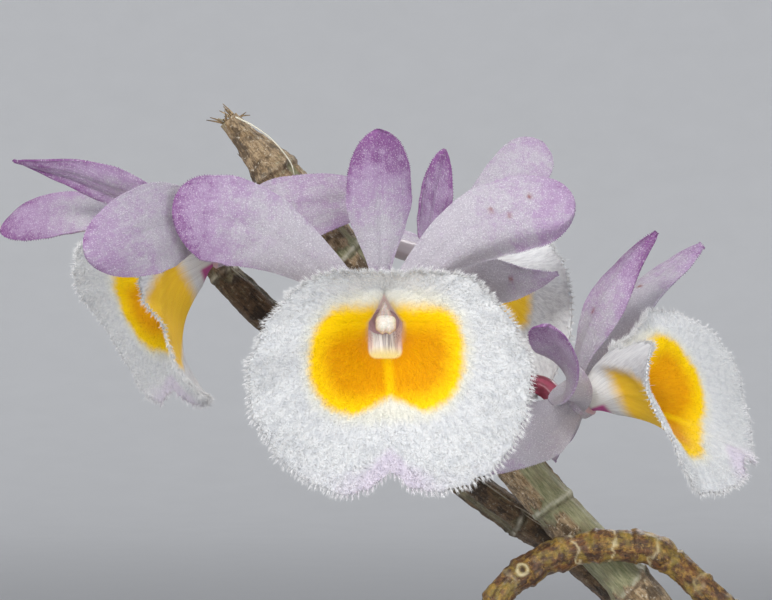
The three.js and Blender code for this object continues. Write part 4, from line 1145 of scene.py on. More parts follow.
for number, (name, bloom) in enumerate(BLOOMS.items()):
    sepals_and_petals(name, bloom, 41 + 7 * number)
print("with sepals and petals:", sum(TALLY.values()), "triangles")

# %% [markdown]
# ## Canes
# A cane is one long stem with a ring at each node. Its dry sheath is a second, slightly raised
# skin that ends in a torn edge, made here by raising the same surface where the sheath still is.

# %% Shape of a cane
def cane_profile(total, radius, first, pitch, ring, tip, foot, between=True):
    """The cane's nodes, and its radius at any arc length, as in the solid model."""
    stations = [(0.0, 0.8)]
    nodes = list(np.arange(first, total - 4, pitch))
    for s in nodes:
        stations += [(s - 1.5, 1.0), (s, ring), (s + 1.2, 1.0)] if between else [(s, ring)]
        stations.append((s + pitch / 2, 0.97))
    stations = [st for st in stations if st[0] < total - 2] + [(total, 1.0)]
    at, share = np.array(stations).T

    def radius_at(s):
        r = np.interp(s, at, share) * lerp(tip, 1, smooth(s / 13))
        return radius * r * lerp(1, foot, smooth((s - total + 60) / 60))

    return nodes, radius_at


CANE_RADIUS = 3.5
FIRST_JOINT, JOINT_PITCH = 11.2, 17.4
CANES = {
    "flowering_cane": dict(
        route=[
            (-119.2, 5, 305), (-112.6, 5, 297.5), (-91.8, 5, 272.5), (-68.7, 5, 244.8), (-52.8, 4.6, 227.9),
            (-30, 4.2, 197), (-12, 3.8, 162), (0, 3.4, 125), (5.4, 3, 100), (6.2, 3, 87.5),
        ],
        profile=(CANE_RADIUS, FIRST_JOINT, JOINT_PITCH, 1.1, 0.5, 0.74), sides=72,
    ),
    "back_cane": dict(
        route=[
            (-125.6, 21, 285.2), (-120.3, 21, 279.8), (-108.1, 21, 268.6), (-91.7, 20, 255),
            (-78.6, 19, 244.5), (-57.4, 17.5, 229.4), (-32, 16.5, 199), (-8, 15.5, 160), (9, 14.5, 122),
            (15.4, 14, 100), (16.4, 14, 87.5),
        ],
        profile=(2.6, 7, 21, 1.12, 0.6, 0.85), sides=48,
    ),
    "old_cane": dict(
        route=[
            (-78.2, -5.2, 225), (-75.4, -4.2, 230.2), (-70.7, -3.4, 233.7), (-67.4, -3, 235.4),
            (-62, -2.8, 236.8), (-55, -2.8, 237), (-51.4, -3, 236.2), (-44.5, -3.6, 231.1), (-33, -5.5, 219),
            (-20, -9, 194), (-8, -12.5, 158), (0, -14.6, 120), (2.4, -15, 98), (2.6, -15, 87.5),
        ],
        profile=(2.5, 4, 6.2, 1.1, 0.8, 0.9, False), sides=60,
    ),
}
for cane in CANES.values():
    cane["line"], cane["length"] = through(cane["route"])
    cane["nodes"], cane["radius"] = cane_profile(cane["length"][-1], *cane["profile"])


def cane_steps(total, shown, fine, coarse):
    """Arc lengths of the rings: close together where the camera looks, wider apart below."""
    below = np.linspace(shown, total, int((total - shown) / coarse))
    return np.concatenate([np.arange(0, shown, fine), below])


def sheathed_cane(name, seed, shown, dress):
    cane = CANES[name]
    total = cane["length"][-1]
    s = cane_steps(total, shown, 0.34, 0.9)
    p, angle = rings(cane["line"], cane["length"], s, 1.0, cane["sides"])
    s_at, a_at = s[:, None] + 0 * angle[None], angle[None] + 0 * s[:, None]
    radius = cane["radius"](s)[:, None] + 0 * a_at
    unrolled = np.stack([np.cos(a_at) * radius, np.sin(a_at) * radius, s_at], -1)
    stretched = unrolled * (1, 1, 0.16)
    sheath, ring, scar = np.zeros_like(radius), np.zeros_like(radius), np.zeros_like(radius)
    torn = lumps(unrolled * (1, 1, 0) + (0, 0, seed), 0.9, seed) * 1.7
    torn = torn + lumps(unrolled * (1, 1, 0) + (0, 0, seed), 0.35, seed + 1) * 0.8
    for number, node in enumerate(cane["nodes"]):
        low, high, bare, way = dress(number, node)
        covered = smooth((s_at - low - torn) / 0.25) * smooth((high - s_at + torn) / 0.25)
        off = np.abs((a_at - way + np.pi) % (2 * np.pi) - np.pi)
        covered = covered * smooth((off - bare + torn * 0.12) / 0.12)
        sheath = np.maximum(sheath, covered)
        slant = node + 0.7 * np.cos(a_at - 1.0 - number * np.pi)
        worn = 0.55 + 0.45 * lumps(unrolled, 0.8, seed + 7)
        ring = np.maximum(ring, np.exp(-(((s_at - slant) / 0.32) ** 2)) * worn)
        scar = np.maximum(scar, np.exp(-(((s_at - slant - 0.75) / 0.2) ** 2)))
        radius = radius + 0.16 * np.exp(-(((s_at - slant) / 0.5) ** 2))
        radius = radius - 0.14 * np.exp(-(((s_at - slant - 0.8) / 0.25) ** 2))
    fold = rough(stretched, 0.8, seed + 2) * 0.3 + rough(stretched, 0.35, seed + 3) * 0.12
    ribs = 0.09 * np.cos(a_at * 14 + 0.6 * lumps(stretched, 2.0, seed + 4))
    ribs = ribs + rough(unrolled, 1.6, seed + 6) * 0.08
    crumple = rough(unrolled, 1.1, seed + 5) * 0.2
    radius = radius - 0.12 + sheath * (0.3 + fold + crumple) + (1 - sheath) * ribs
    centre = p.mean(1, keepdims=True)
    p = centre + (p - centre) * radius[..., None]
    heap = Heap()
    heap.tube(p, grain=stretched, sheath=sheath, ring=ring * (1 - sheath * 0.8), scar=scar * 0.7)
    return heap, cane


def main_dress(number, node):
    """Where the sheath round each joint begins and ends, and how much of its width is torn away."""
    if number == 0:
        return -3, 12.6, 0.0, 0.0
    if number in (1, 2, 3):
        return node - 16.2, node - 0.6, 0.0, 2.4
    if number == 4:
        return node - 17, node - 1.2, 0.75, 2.4
    if number == 5:
        return node - 15.6, node - 11, 0.9, 2.0
    return node - 17, node - (3 + number % 3 * 4), 0.5 + 0.3 * (number % 2), number * 1.9


heap, cane = sheathed_cane("flowering_cane", 3, 100, main_dress)
random = np.random.default_rng(5)
tip = np.array(cane["route"][0], dtype=float)
# Dry fibres fray out of the tip, and a few peel off the sheath farther down.
TIP_FIBRES, PEELING_FIBRES = 16, 10
for k in range(TIP_FIBRES + PEELING_FIBRES):
    at_tip = k < TIP_FIBRES
    base_s = 0.5 if at_tip else 4 + 11 * random.random()
    base = along(cane["line"], cane["length"], np.array([base_s]))[0]
    a = 2 * np.pi * random.random()
    off = np.array([math.cos(a), 0.7 * math.sin(a), 0.5 * math.cos(a)])
    start = base + unit(off) * (1.0 if at_tip else 2.4)
    if at_tip:
        aim = unit(np.array([-0.55, 0, 0.8]) + random.normal(size=3) * (0.55, 0.5, 0.35))
    else:
        aim = unit(off + np.array([-0.4, 0, 0.5]))
    reach = (1.4 + 1.6 * random.random()) if at_tip else 1.0 + random.random()
    bend = random.normal(size=3) * 0.5
    middle, end = start + aim * reach * 0.5 + bend * 0.3, start + aim * reach + bend
    line, length = through([start - aim * 0.8, start, middle, end])
    steps = np.linspace(0, length[-1] * 0.999, 9)
    thin = np.linspace(0.3, 0.07, 9) * (1.0 if at_tip else 0.6)
    p, angle = rings(line, length, steps, thin[:, None] * np.array([1.0, 0.45] * 3)[None], 6)
    flat = np.ones(p.shape[:2])
    heap.tube(p, grain=p * 0.3, sheath=flat, ring=0 * flat, scar=0 * flat)
# One long pale fibre hangs down beside the tip.
pale_fibre = [(-118, 2, 305.2), (-115.2, 1.2, 303.8), (-112, 0.8, 301.4), (-109.1, 0.6, 297.7)]
line, length = through(pale_fibre + [(-108.6, 0.8, 295.9)])
steps = np.linspace(0, length[-1] * 0.999, 30)
p, angle = rings(line, length, steps, np.linspace(0.15, 0.1, 30)[:, None], 6)
flat = np.zeros(p.shape[:2])
heap.tube(p, grain=p * 0.3, sheath=flat, ring=flat + 1, scar=flat)
heap.object("flowering_cane_fine", CANE, "cane", ["flowering_cane"])


def back_dress(number, node):
    """The same for the back cane, where nearly all of the sheath is left."""
    return node - 20.4, node - (0.4 if number < 6 else 5), 0.2, 1.0 + number


heap, cane = sheathed_cane("back_cane", 8, 110, back_dress)
random = np.random.default_rng(8)
# Long loose fibres lie along the old sheath.
LOOSE_FIBRES = 40
for k in range(LOOSE_FIBRES):
    at = 3 + 95 * random.random()
    span = 5 + 9 * random.random()
    s = np.linspace(at, at + span, 12)
    a = 2 * np.pi * random.random()
    centre, _ = rings(cane["line"], cane["length"], s, 1.0, 3)
    mid = along(cane["line"], cane["length"], s)
    ahead = unit(along(cane["line"], cane["length"], s + 0.05) - mid)
    way = unit(np.cross(ahead, (math.sin(a), 0.4, math.cos(a))))
    lift = cane["radius"](s) + 0.12 + 0.5 * np.sin(np.linspace(0, np.pi, 12)) * random.random()
    line, length = through(mid + way * lift[:, None])
    steps = np.linspace(0, length[-1] * 0.999, 14)
    p, angle = rings(line, length, steps, (0.13 * np.sin(np.linspace(0.3, 2.9, 14)))[:, None], 5)
    flat = np.zeros(p.shape[:2])
    heap.tube(p, grain=p * 0.3, sheath=flat + 1, ring=flat + 0.35, scar=flat)
heap.object("back_cane_fine", BACK_CANE_SHADED, "cane", ["back_cane"])

# %% [markdown]
# ## The old cane
# It flowered long ago and has shrivelled: deep furrows run between its rings, and it is spotted
# with crust. A round pale scar shows where a side shoot has dropped.

# %% Shape of the old cane
cane = CANES["old_cane"]
total = cane["length"][-1]
s = cane_steps(total, 62, 0.24, 0.7)
p, angle = rings(cane["line"], cane["length"], s, 1.0, cane["sides"])
s_at, a_at = s[:, None] + 0 * angle[None], angle[None] + 0 * s[:, None]
radius = cane["radius"](s)[:, None] + 0 * a_at
unrolled = np.stack([np.cos(a_at) * 2.5, np.sin(a_at) * 2.5, s_at], -1)
ring, scar, near = np.zeros_like(radius), np.zeros_like(radius), np.zeros_like(radius)
for number, node in enumerate(cane["nodes"]):
    slant = node + 0.5 * np.cos(a_at + number * 2.1) + 0.25 * lumps(unrolled, 1.2, number)
    near = np.maximum(near, np.exp(-(((s_at - slant) / 1.1) ** 2)))
    radius = radius + 0.2 * np.exp(-(((s_at - slant) / 0.4) ** 2))
    radius = radius - 0.15 * np.exp(-(((s_at - slant + 0.7) / 0.3) ** 2))
for at, strength in ((19.4, 1.0), (24.8, 1.0), (32.2, 0.7), (8.0, 0.3), (40.5, 0.4), (51.0, 0.4)):
    wander = 1.1 * lumps(unrolled, 1.9, int(at)) + 0.5 * lumps(unrolled, 0.7, int(at) + 1)
    uneven = np.clip(0.75 + 0.6 * lumps(unrolled, 0.9, 3), 0, 1)
    pale = np.exp(-(((s_at - at - wander) / 0.24) ** 2)) * uneven
    ring = np.maximum(ring, strength * pale)
shoulder = smooth((s_at - 33.4) / 1.6)
radius = radius * (1 + 0.09 * np.exp(-(((s_at - 32.4) / 1.3) ** 2)) - 0.15 * shoulder)
furrows = rough(unrolled * (1, 1, 0.22), 1.3, 6) * 0.5 - 0.14 * np.abs(lumps(unrolled * (1, 1, 0.2), 0.8, 9))
radius = radius + furrows * (1 - 0.7 * near) * 0.75 + rough(unrolled, 1.5, 12) * 0.26
radius = radius + rough(unrolled, 0.5, 14) * 0.08
centre = along(cane["line"], cane["length"], s)[:, None]
p = centre + (p - centre) * radius[..., None]
spot = np.linalg.norm(p - np.array([-72.6, -6.4, 233.6]), axis=-1)
scar = np.exp(-((spot / 0.55) ** 4))
ring = np.maximum(ring, np.exp(-(((spot - 0.95) / 0.22) ** 2)))
p = p + (p - centre) * (0.1 * np.exp(-(((spot - 0.95) / 0.3) ** 2)) - 0.12 * scar)[..., None]
heap = Heap()
heap.tube(p, grain=unrolled * (1, 1, 0.2), ring=np.clip(ring, 0, 1), scar=scar)
heap.object("old_cane_fine", OLD_CANE, "old_cane", ["old_cane"])
print("with canes:", sum(TALLY.values()), "triangles")

# %% [markdown]
# ## Columns and stalks
# The column slopes down inside the tube of the lip, and its cap ends in a small toothed lip. The
# stalk rises from a joint of the cane and swells to the ovary behind the hub.

# %% Columns and stalks
def column(name, bloom, seed):
    size = bloom["size"]
    share = np.linspace(0, 1, 34)
    angle = np.linspace(0, 2 * np.pi, 40, endpoint=False)
    close = np.sqrt(np.clip(1 - np.maximum(share - 0.8, 0) ** 2 / 0.0402, 0, 1))
    spine = bloom["hub"] + bloom["forward"] * (SEAT_GAP + share * 7.6 * size)[:, None]
    spine = spine + bloom["up"] * (lerp(0.5, 0.3, share) * size)[:, None]
    crest = smooth((share - 0.3) / 0.45)[:, None] * np.maximum(np.sin(angle), 0)[None]
    x = np.cos(angle)[None] * (1.45 * close)[:, None] * (1 - 0.5 * crest**2) * size
    y = np.sin(angle)[None] * (1.15 * close)[:, None] * (1 + 1.5 * crest**2) * size
    back = 1.3 * crest**2 * size
    p = spine[:, None] + bloom["right"] * x[..., None] + bloom["up"] * y[..., None]
    p = p - bloom["forward"] * back[..., None]
    flat = np.zeros(p.shape[:2])
    heap = Heap()
    heap.tube(p, cap=flat, share=share[:, None] + flat)
    turn = np.linspace(0, np.pi, 20)[:, None]
    centre = bloom["hub"] + bloom["forward"] * (SEAT_GAP + 7.9 * size) - bloom["up"] * 0.35 * size
    teeth = 1 + 0.14 * np.sin(angle * 9 + seed)[None] * np.exp(-(((angle - 1.5 * np.pi) / 0.8) ** 2))[None]
    square = 1 + 0.13 * np.sin(2 * angle)[None] ** 2
    x = np.sin(turn) * np.cos(angle)[None] * 1.6 * size * square
    y = np.sin(turn) * np.sin(angle)[None] * 1.4 * size * teeth * square
    z = -np.cos(turn) * 1.15 * size * (1 - 0.25 * np.sin(angle)[None] * np.sin(turn))
    groove = -0.12 * np.exp(-((x / 0.3) ** 2)) * np.sin(turn)
    p = centre + bloom["right"] * x[..., None] + bloom["up"] * y[..., None]
    p = p + bloom["forward"] * (z + groove)[..., None]
    flat = np.ones(p.shape[:2])
    heap.tube(p, cap=flat, share=flat)
    heap.object(name + "_column", COLUMN, "column", [name + "_bloom_column"])


def stalk(name, bloom, seed):
    cane, forward = CANES["flowering_cane"], bloom["forward"]
    joint = FIRST_JOINT + bloom["node"] * JOINT_PITCH
    node = along(cane["line"], cane["length"], np.array([joint]))[0]
    end = bloom["hub"] - forward * (4.4 + SEAT_GAP)
    cane_way = unit(along(cane["line"], cane["length"], np.array([1.0]))[0] - np.array(cane["route"][0]))
    to_end = end - node
    off = unit(to_end - cane_way * np.dot(to_end, cane_way))
    start = node + off * (CANE_RADIUS * 1.2 + SEAT_GAP)
    t = np.linspace(0, 1, 44)[:, None]
    control = end - forward * 5 + np.array([0, 0, bloom["stalk_rise"]])
    spine = start * (1 - t) ** 3 + (start + off * 3) * 3 * t * (1 - t) ** 2
    spine = spine + control * 3 * t**2 * (1 - t) + end * t**3
    length = np.concatenate([[0], np.cumsum(np.linalg.norm(np.diff(spine, axis=0), axis=1))])
    share = t[:, 0]
    radius = 1.15 * lerp(1, 1.45, smooth(share)) + 0.35 * np.exp(-((share / 0.05) ** 2))
    p, angle = rings(spine, length, length * 0.9999, 1.0, 24)
    ribs = 1 + 0.05 * np.cos(angle * 6)[None] * smooth((share - 0.4) / 0.4)[:, None]
    centre = spine[:, None]
    full = radius[:, None] * ribs * (1 + 0.04 * lumps(p, 1.2, seed))
    p = centre + (p - p.mean(1, keepdims=True)) * full[..., None]
    along_it = length[:, None] * 0.2 + 0 * full
    spun = np.stack([np.cos(angle)[None] + 0 * full, np.sin(angle)[None] + 0 * full, along_it], -1)
    heap = Heap()
    heap.tube(p, grain=spun, share=share[:, None] + 0 * full, pale=bloom["stalk_pale"] + 0 * full)
    heap.object(name + "_stalk", STALK, "flower_stalk", [name + "_bloom_stalk"])


for number, (name, bloom) in enumerate(BLOOMS.items()):
    column(name, bloom, number)
    stalk(name, bloom, 70 + number)

# %% [markdown]
# ## The pot
# One outline, turned round the middle, gives the pot, and four holes are cut through its floor.
# Small steps in the outline are the lines that the potter's rib leaves.

# %% Pot
POT_HEIGHT, POT_TOP, POT_FOOT, POT_WALL = 104, 58, 40, 5.5
BAND_HEIGHT, BAND_DEPTH = 22, 3.5
FLOOR_TOP, FLOOR_CORNER = 7, 10
DRAIN_HOLES, DRAIN_RADIUS, DRAIN_FROM_MIDDLE = 4, 6, 21


def pot_inner(z):
    """The radius of the pot's inner wall at a height."""
    top = POT_TOP - BAND_DEPTH - POT_WALL + 1.5
    return lerp(POT_FOOT - POT_WALL, top, z / POT_HEIGHT)


def rounded(corners):
    """The outline with each corner cut by a small arc. A corner is radius, height and roundness."""
    out = []
    for k, (r, z, cut) in enumerate(corners):
        here = np.array([r, z], dtype=float)
        if cut == 0:
            out.append(here)
            continue
        before = np.array(corners[k - 1][:2], dtype=float)
        after = np.array(corners[k + 1][:2], dtype=float)
        a = here + unit(before - here) * min(cut, np.linalg.norm(before - here) * 0.45)
        b = here + unit(after - here) * min(cut, np.linalg.norm(after - here) * 0.45)
        for t in np.linspace(0, 1, 6):
            out.append(a * (1 - t) ** 2 + here * 2 * t * (1 - t) + b * t**2)
    return np.array(out)


wall_top, band_foot = POT_TOP - BAND_DEPTH, POT_HEIGHT - BAND_HEIGHT
under = pot_inner(FLOOR_CORNER)
outline = rounded(
    [
        (0, 0, 0), (POT_FOOT, 0, 1.6), (wall_top - 1, band_foot - 0.5, 1.2),
        (POT_TOP, band_foot + 0.8, 1.4), (POT_TOP, POT_HEIGHT, 1.8),
        (pot_inner(POT_HEIGHT), POT_HEIGHT, 1.8),
        (under, FLOOR_CORNER, 3), (under - 4, FLOOR_TOP, 2), (0, FLOOR_TOP, 0),
    ]
)
fine = [outline[0]]
for a, b in zip(outline[:-1], outline[1:]):
    steps = max(1, int(np.linalg.norm(b - a) / 1.95))
    fine += [a + (b - a) * k / steps for k in range(1, steps + 1)]
fine = np.array(fine)[1:-1]
sides = 112
angle = np.linspace(0, 2 * np.pi, sides, endpoint=False)
r, z = fine[:, 0][:, None] + 0 * angle[None], fine[:, 1][:, None] + 0 * angle[None]
p = np.stack([r * np.cos(angle), r * np.sin(angle), z], -1)
onside = ((z > 3) & (z < 102) & (r > pot_inner(0) + 1)).astype(float)
outside = onside * (r > pot_inner(z) + 2)
rib = 0.13 * np.sin(z * 2.1 + 0.8 * np.sin(angle + z * 0.05)) + lumps(p * (0.3, 0.3, 1), 3.0, 2) * 0.18
r = r + rib * outside
p = np.stack([r * np.cos(angle), r * np.sin(angle), z], -1)
worn = np.exp(-(((z - 103.5) / 1.6) ** 2)) * (r > 50)
worn = worn + np.exp(-(((z - band_foot - 1) / 1.0) ** 2)) * (r > 56)
worn = np.clip(worn + np.exp(-((z / 1.5) ** 2)) * (r > 38), 0, 1)
heap = Heap()
heap.tube(p, wear=worn)
pot = heap.object("pot_fine", CLAY, "terracotta", ["pot"])
for k in range(DRAIN_HOLES):
    a = 2 * np.pi * (k + 0.5) / DRAIN_HOLES
    off = DRAIN_FROM_MIDDLE * MM
    bpy.ops.mesh.primitive_cylinder_add(
        vertices=40, radius=DRAIN_RADIUS * MM, depth=40 * MM,
        location=(off * math.cos(a), off * math.sin(a), 0),
    )
    cutter = bpy.context.object
    cut = pot.modifiers.new("hole", "BOOLEAN")
    cut.object, cut.operation, cut.solver = cutter, "DIFFERENCE", "EXACT"
    bpy.context.view_layer.update()
    cut_mesh = bpy.data.meshes.new_from_object(pot.evaluated_get(bpy.context.evaluated_depsgraph_get()))
    pot.modifiers.clear()
    pot.data = cut_mesh
    bpy.data.objects.remove(cutter)
pot.data.shade_smooth()
pot.data.set_sharp_from_angle(angle=math.radians(50))
if not pot.data.materials or pot.data.materials[0] is None:
    pot.data.materials.clear()
    pot.data.materials.append(CLAY)
print("pot points:", len(pot.data.vertices))

# %% [markdown]
# ## The bark
# The mix is a packed bed with chips of pine bark on top. The large chips lie where the solid
# model has them, and smaller ones fill in between. Each chip is a block whose faces are split,
# pinched and roughened, so no two are alike.

# %% Bark
def chip_points(long, wide, high, pinch, seed, cells=(9, 6, 4)):
    """A block of bark: its surface points and faces, pinched at its corners and roughened."""
    nx, ny, nz = cells
    index, points = {}, []

    def at(i, j, k):
        if (i, j, k) not in index:
            index[i, j, k] = len(points)
            points.append((i / nx - 0.5, j / ny - 0.5, k / nz - 0.5))
        return index[i, j, k]

    faces = []
    for i in range(nx):
        for j in range(ny):
            faces.append((at(i, j, 0), at(i, j + 1, 0), at(i + 1, j + 1, 0), at(i + 1, j, 0)))
            faces.append((at(i, j, nz), at(i + 1, j, nz), at(i + 1, j + 1, nz), at(i, j + 1, nz)))
    for i in range(nx):
        for k in range(nz):
            faces.append((at(i, 0, k), at(i + 1, 0, k), at(i + 1, 0, k + 1), at(i, 0, k + 1)))
            faces.append((at(i, ny, k), at(i, ny, k + 1), at(i + 1, ny, k + 1), at(i + 1, ny, k)))
    for j in range(ny):
        for k in range(nz):
            faces.append((at(0, j, k), at(0, j, k + 1), at(0, j + 1, k + 1), at(0, j + 1, k)))
            faces.append((at(nx, j, k), at(nx, j + 1, k), at(nx, j + 1, k + 1), at(nx, j, k + 1)))
    q = np.array(points)
    share = q + 0.5
    factor = np.zeros_like(q)
    for corner in np.ndindex(2, 2, 2):
        weight = np.prod(np.where(corner, share, 1 - share), axis=1)[:, None]
        factor += weight * np.array(pinch[corner])
    bevel = 1 - 0.1 * np.sum(np.abs(q * 2) ** 6, axis=1, keepdims=True) / 3
    p = q * factor * bevel * (long, wide, high)
    away = unit(q * (1, 1.3, 2))
    flaked = rough(p + seed * 3.1, 3.5, seed) * 0.75 + lumps(p * (0.4, 1, 2.4) + seed, 1.2, seed + 1) * 0.4
    p = p + away * flaked[:, None]
    return p, np.array(faces)


def rolled_to(p, tilt_x, tilt_y, tilt_z):
    for axis, tilt in (((1, 0, 0), tilt_x), ((0, 1, 0), tilt_y), ((0, 0, 1), tilt_z)):
        c, s = math.cos(tilt), math.sin(tilt)
        axis = np.array(axis, dtype=float)
        p = p * c + np.cross(axis, p) * s + axis * (p @ axis)[:, None] * (1 - c)
    return p


BARK_LEVEL, BIG_CHIPS, SMALL_CHIPS = 88, 28, 170
inset = SEAT_GAP + 0.15
bed = [(0.01, 7.5), (under - 4.4, 7.5), (under - inset, 10.6), (pot_inner(84) - inset, 84)]
for share in np.linspace(0.0, 1.0, 30)[:-1]:
    height = lerp(86.2, BARK_LEVEL + 0.3, smooth(share * 6))
    bed.append((lerp(pot_inner(87) - 1.2, 0.4, share), height))
bed = np.array(bed)
angle = np.linspace(0, 2 * np.pi, 120, endpoint=False)
p = np.stack(
    [bed[:, :1] * np.cos(angle), bed[:, :1] * np.sin(angle), bed[:, 1:] + 0 * angle[None]], -1
)
top = (p[..., 2] > 85.5).astype(float)
p[..., 2] += (rough(p, 5.0, 2, 4) * 1.7 - 0.6) * top
heap = Heap()
heap.tube(p, chip=p, own=np.full(p.shape[:2], 0.25))
draw = seeded(5)
golden = math.pi * (3 - math.sqrt(5))
reach = pot_inner(BARK_LEVEL) - 9.5
for k in range(BIG_CHIPS):
    r = reach * math.sqrt((k + 0.5) / BIG_CHIPS)
    long = 20 * (0.65 + 0.5 * draw())
    wide, high = long * (0.5 + 0.25 * draw()), 4 + 3 * draw()
    pinch_draw, pinch = seeded(100 + k), {}
    for corner in ((1, 1, 1), (1, 1, 0), (1, 0, 1), (1, 0, 0), (0, 1, 0), (0, 1, 1), (0, 0, 0), (0, 0, 1)):
        pinch[corner] = [0.72 + 0.35 * pinch_draw() for _ in range(3)]
    p, faces = chip_points(long, wide, high, pinch, k)
    local = p.copy()
    tilts = ((draw() - 0.5) * 0.7, (draw() - 0.5) * 0.7, draw() * math.pi)
    p = rolled_to(p, *tilts)
    a = k * golden
    p = p + (r * math.cos(a), r * math.sin(a), BARK_LEVEL + 0.6 + 2.4 * draw())
    far = np.linalg.norm(p[:, :2], axis=1)
    most = pot_inner(p[:, 2]) - inset
    p[:, :2] *= np.minimum(1, most / np.maximum(far, 1e-6))[:, None]
    heap.add(p, faces, chip=local + k * 7.3, own=np.full(len(p), (k * 0.37) % 1))
random = np.random.default_rng(17)
for k in range(SMALL_CHIPS):
    r = (pot_inner(BARK_LEVEL) - 3.5) * math.sqrt(random.random())
    a = 2 * np.pi * random.random()
    long = 4 + 6 * random.random() ** 1.5
    pinch = {corner: list(0.6 + 0.5 * random.random(3)) for corner in np.ndindex(2, 2, 2)}
    p, faces = chip_points(long, long * 0.6, 1.6 + 1.8 * random.random(), pinch, 100 + k, (5, 3, 2))
    local = p.copy()
    p = rolled_to(p, *(random.normal(size=2) * 0.35), random.random() * math.pi)
    height = BARK_LEVEL + 0.3 + 1.6 * random.random() + 1.2 * (r < 38)
    p = p + (r * math.cos(a), r * math.sin(a), height)
    far = np.linalg.norm(p[:, :2], axis=1)
    most = pot_inner(p[:, 2]) - inset
    p[:, :2] *= np.minimum(1, most / np.maximum(far, 1e-6))[:, None]
    heap.add(p, faces, chip=local + k * 5.1, own=np.full(len(p), random.random()))
heap.object("bark_fine", BARK, "bark", ["bark"])
print("with pot and bark:", sum(TALLY.values()), "triangles")

# %% [markdown]
# ## The rhizome and its roots
# The canes rise from a creeping stem with rings close together. Its roots run out over the bark
# and dive in near the wall. They are thick, because a spongy skin wraps the thin root inside.

# %% Rhizome and roots
RHIZOME_RADIUS, ROOTS_IN_ALL, ROOT_RADIUS = 5.2, 7, 1.9
route = [
    (20, 20, 87), (16.4, 14, 89.5), (11, 8, 90), (6.2, 3, 90), (3.4, -6, 90), (2.6, -15, 89.5), (0, -21, 87),
]
line, length = through(route)
s = np.linspace(0, length[-1] * 0.9999, 120)
p, angle = rings(line, length, s, 1.0, 40)
share = s / length[-1]
closing = np.interp(share, [0, 0.09, 0.91, 1], [0.6, 1, 1, 0.6])
radius = RHIZOME_RADIUS * closing * (1 + 0.05 * np.cos(share * 25))
full = radius[:, None] + 0 * angle[None]
unrolled = np.stack([np.cos(angle)[None] * full, np.sin(angle)[None] * full, s[:, None] + 0 * full], -1)
ring = np.zeros_like(full)
for node in np.arange(2, length[-1], 3.4):
    slant = node + 0.5 * np.cos(angle[None] + node)
    ring = np.maximum(ring, np.exp(-(((s[:, None] - slant) / 0.35) ** 2)))
full = full + 0.22 * ring + rough(unrolled * (1, 1, 0.4), 1.8, 4) * 0.35 - 0.25
centre = along(line, length, s)[:, None]
p = centre + (p - p.mean(1, keepdims=True)) * full[..., None]
heap = Heap()
heap.tube(p, grain=unrolled * (0.7, 0.7, 0.25), wood=np.ones_like(full), ring=ring * 0.6)
draw = seeded(11)
for k in range(ROOTS_IN_ALL):
    heading = 2 * math.pi * (k + 0.5 * draw()) / ROOTS_IN_ALL
    start = along(line, length, np.array([length[-1] * (0.5 - 0.42 * math.sin(heading))]))[0]
    end = np.array([34 * math.cos(heading), 34 * math.sin(heading), 0])
    flat = (end - start) * (1, 1, 0)
    sideways = np.cross(flat, (0, 0, 1)) * 0.3 * (draw() - 0.5)
    points = []
    for j, z in enumerate((89.5, 92.6, 93, 92.4, 90, 83)):
        q = lerp(start, end, j / 5) + sideways * math.sin(math.pi * j / 5)
        points.append((q[0], q[1], z))
    path, run = through(points)
    s = np.linspace(0, run[-1] * 0.9999, 70)
    share = s / run[-1]
    p, angle = rings(path, run, s, 1.0, 20)
    full = (ROOT_RADIUS * lerp(1, 0.75, share))[:, None] + 0 * angle[None]
    unrolled = np.stack([np.cos(angle)[None] * full, np.sin(angle)[None] * full, s[:, None] + 0 * full], -1)
    full = full + rough(unrolled * (1, 1, 0.5), 1.6, 20 + k) * 0.16
    centre = along(path, run, s)[:, None]
    p = centre + (p - p.mean(1, keepdims=True)) * full[..., None]
    flat = np.zeros_like(full)
    heap.tube(p, grain=unrolled * (1, 1, 0.3), wood=flat, ring=flat)
heap.object("rhizome_and_roots_fine", ROOTS, "root", ["rhizome_and_roots"])
print("in all:", sum(TALLY.values()), "triangles; most in one piece:", max(TALLY.values()))

# %% [markdown]
# ## Floor, light and camera
# The floor rises to a wall in one wide curve, so no line crosses the picture. Far from the pot it
# is paler and glows a little, which keeps the backdrop even where the lamps reach less of it.
# Five soft discs light the plant: a warm key from the upper left, a weaker fill from the right, a
# faint one from the left side, one from behind, and a wide one overhead for the floor. The camera
# looks level at the blooms from 60 centimetres, where the photograph seems to have been taken.

# %% Floor and backdrop
def stage_material():
    m = Recipe("backdrop")
    p = m.place()
    grain = m.noise(p, 0.02, 3.0, 0.5)
    away = (p.part("x") ** 2.0 + p.part("y") ** 2.0) ** 0.5
    far = away.step(900.0, 5200.0)
    colour = m.mix(far, "b4b5b7", m.mix(grain, "d4d5d7", "d9dadc"))
    glow = m.mix(far, "000000", colour)
    return m.finish(colour, 0.9, Specular_IOR_Level=0.1, Emission_Color=glow, Emission_Strength=0.3)


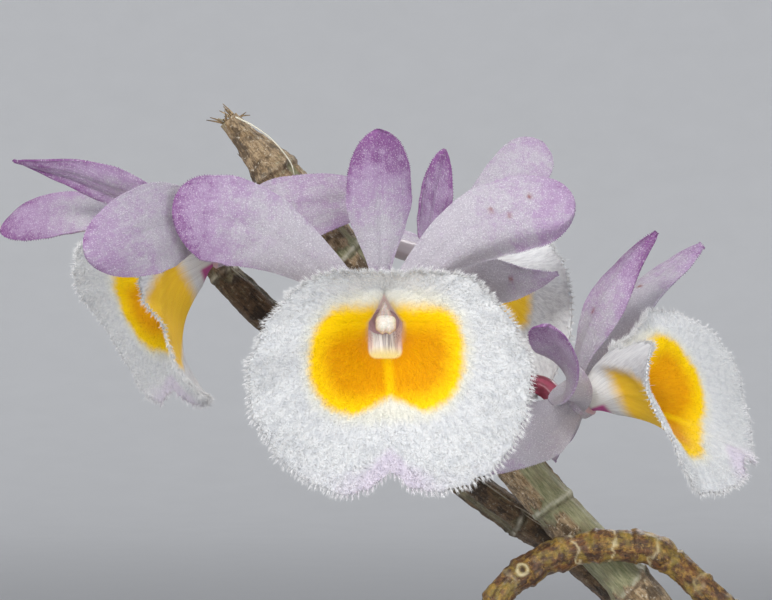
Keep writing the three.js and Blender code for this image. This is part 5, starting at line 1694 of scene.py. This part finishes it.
FLOOR_RADIUS, CURVE = 4.0, 2.0
profile = [(0.001, 0.0), (0.5, 0.0), (1.0, 0.0), (2.5, 0.0), (FLOOR_RADIUS, 0.0)]
for t in np.linspace(0, np.pi / 2, 16)[1:]:
    profile.append((FLOOR_RADIUS + CURVE * math.sin(t), CURVE - CURVE * math.cos(t)))
profile += [(FLOOR_RADIUS + CURVE, 3.0), (FLOOR_RADIUS + CURVE, 4.5)]
profile = np.array(profile)
angle = np.linspace(0, 2 * np.pi, 96, endpoint=False)
r, z = profile[:, :1], profile[:, 1:]
p = np.stack([r * np.cos(angle), r * np.sin(angle), z + 0 * angle], -1)
mesh = bpy.data.meshes.new("backdrop")
mesh.from_pydata(p.reshape(-1, 3), [], [list(f) for f in grid_faces(len(profile), 96, True)])
mesh.shade_smooth()
mesh.materials.append(stage_material())
backdrop = bpy.data.objects.new("backdrop", mesh)
bpy.context.scene.collection.objects.link(backdrop)

# %% Light and camera
TARGET = Vector((-94 * MM, -10 * MM, 262 * MM))


def soft_light(name, place, size, power, colour, target=TARGET, spread=180):
    lamp = bpy.data.lights.new(name, "AREA")
    lamp.shape, lamp.size, lamp.energy, lamp.color = "DISK", size, power, colour
    lamp.spread = math.radians(spread)
    thing = bpy.data.objects.new(name, lamp)
    thing.location = place
    thing.rotation_euler = (target - Vector(place)).to_track_quat("-Z", "Y").to_euler()
    thing.visible_camera = False
    bpy.context.scene.collection.objects.link(thing)


soft_light("key", (-0.35, -1.05, 0.8), 0.3, 7.9, (1.0, 0.98, 0.95))
soft_light("fill", (0.55, -1.3, 0.22), 0.7, 2.0, (0.94, 0.97, 1.0), spread=90)
soft_light("side", (-1.15, -0.7, 0.5), 0.5, 0.7, (1.0, 1.0, 1.0), spread=80)
soft_light("back", (0.3, 0.9, 1.0), 0.7, 7.0, (1.0, 1.0, 1.0))
soft_light("room", (0.0, -1.2, 3.8), 3.2, 42.0, (1.0, 1.0, 1.0), Vector((0.0, -1.2, 0.0)))

world = bpy.data.worlds.new("room")
world.use_nodes = True
world.node_tree.nodes["Background"].inputs["Color"].default_value = (0.9, 0.93, 1.0, 1.0)
world.node_tree.nodes["Background"].inputs["Strength"].default_value = 0.22
bpy.context.scene.world = world
bpy.context.scene.view_settings.view_transform = "Standard"

PHOTO_WIDTH, PIXEL_SIZE, VIEW_DISTANCE = 772, 0.152, 600
MIDDLE_X, MIDDLE_Y, MIDDLE_Z = -94, -28, 276
camera = bpy.data.objects.new("camera", bpy.data.cameras.new("camera"))
camera.data.sensor_width = 36.0
camera.data.lens = 36.0 * VIEW_DISTANCE / (PHOTO_WIDTH * PIXEL_SIZE)
camera.data.clip_start, camera.data.clip_end = 0.05, 30.0
camera.location = (MIDDLE_X * MM, (MIDDLE_Y - VIEW_DISTANCE) * MM, MIDDLE_Z * MM)
camera.rotation_euler = (math.pi / 2, 0, 0)
bpy.context.scene.collection.objects.link(camera)
bpy.context.scene.camera = camera
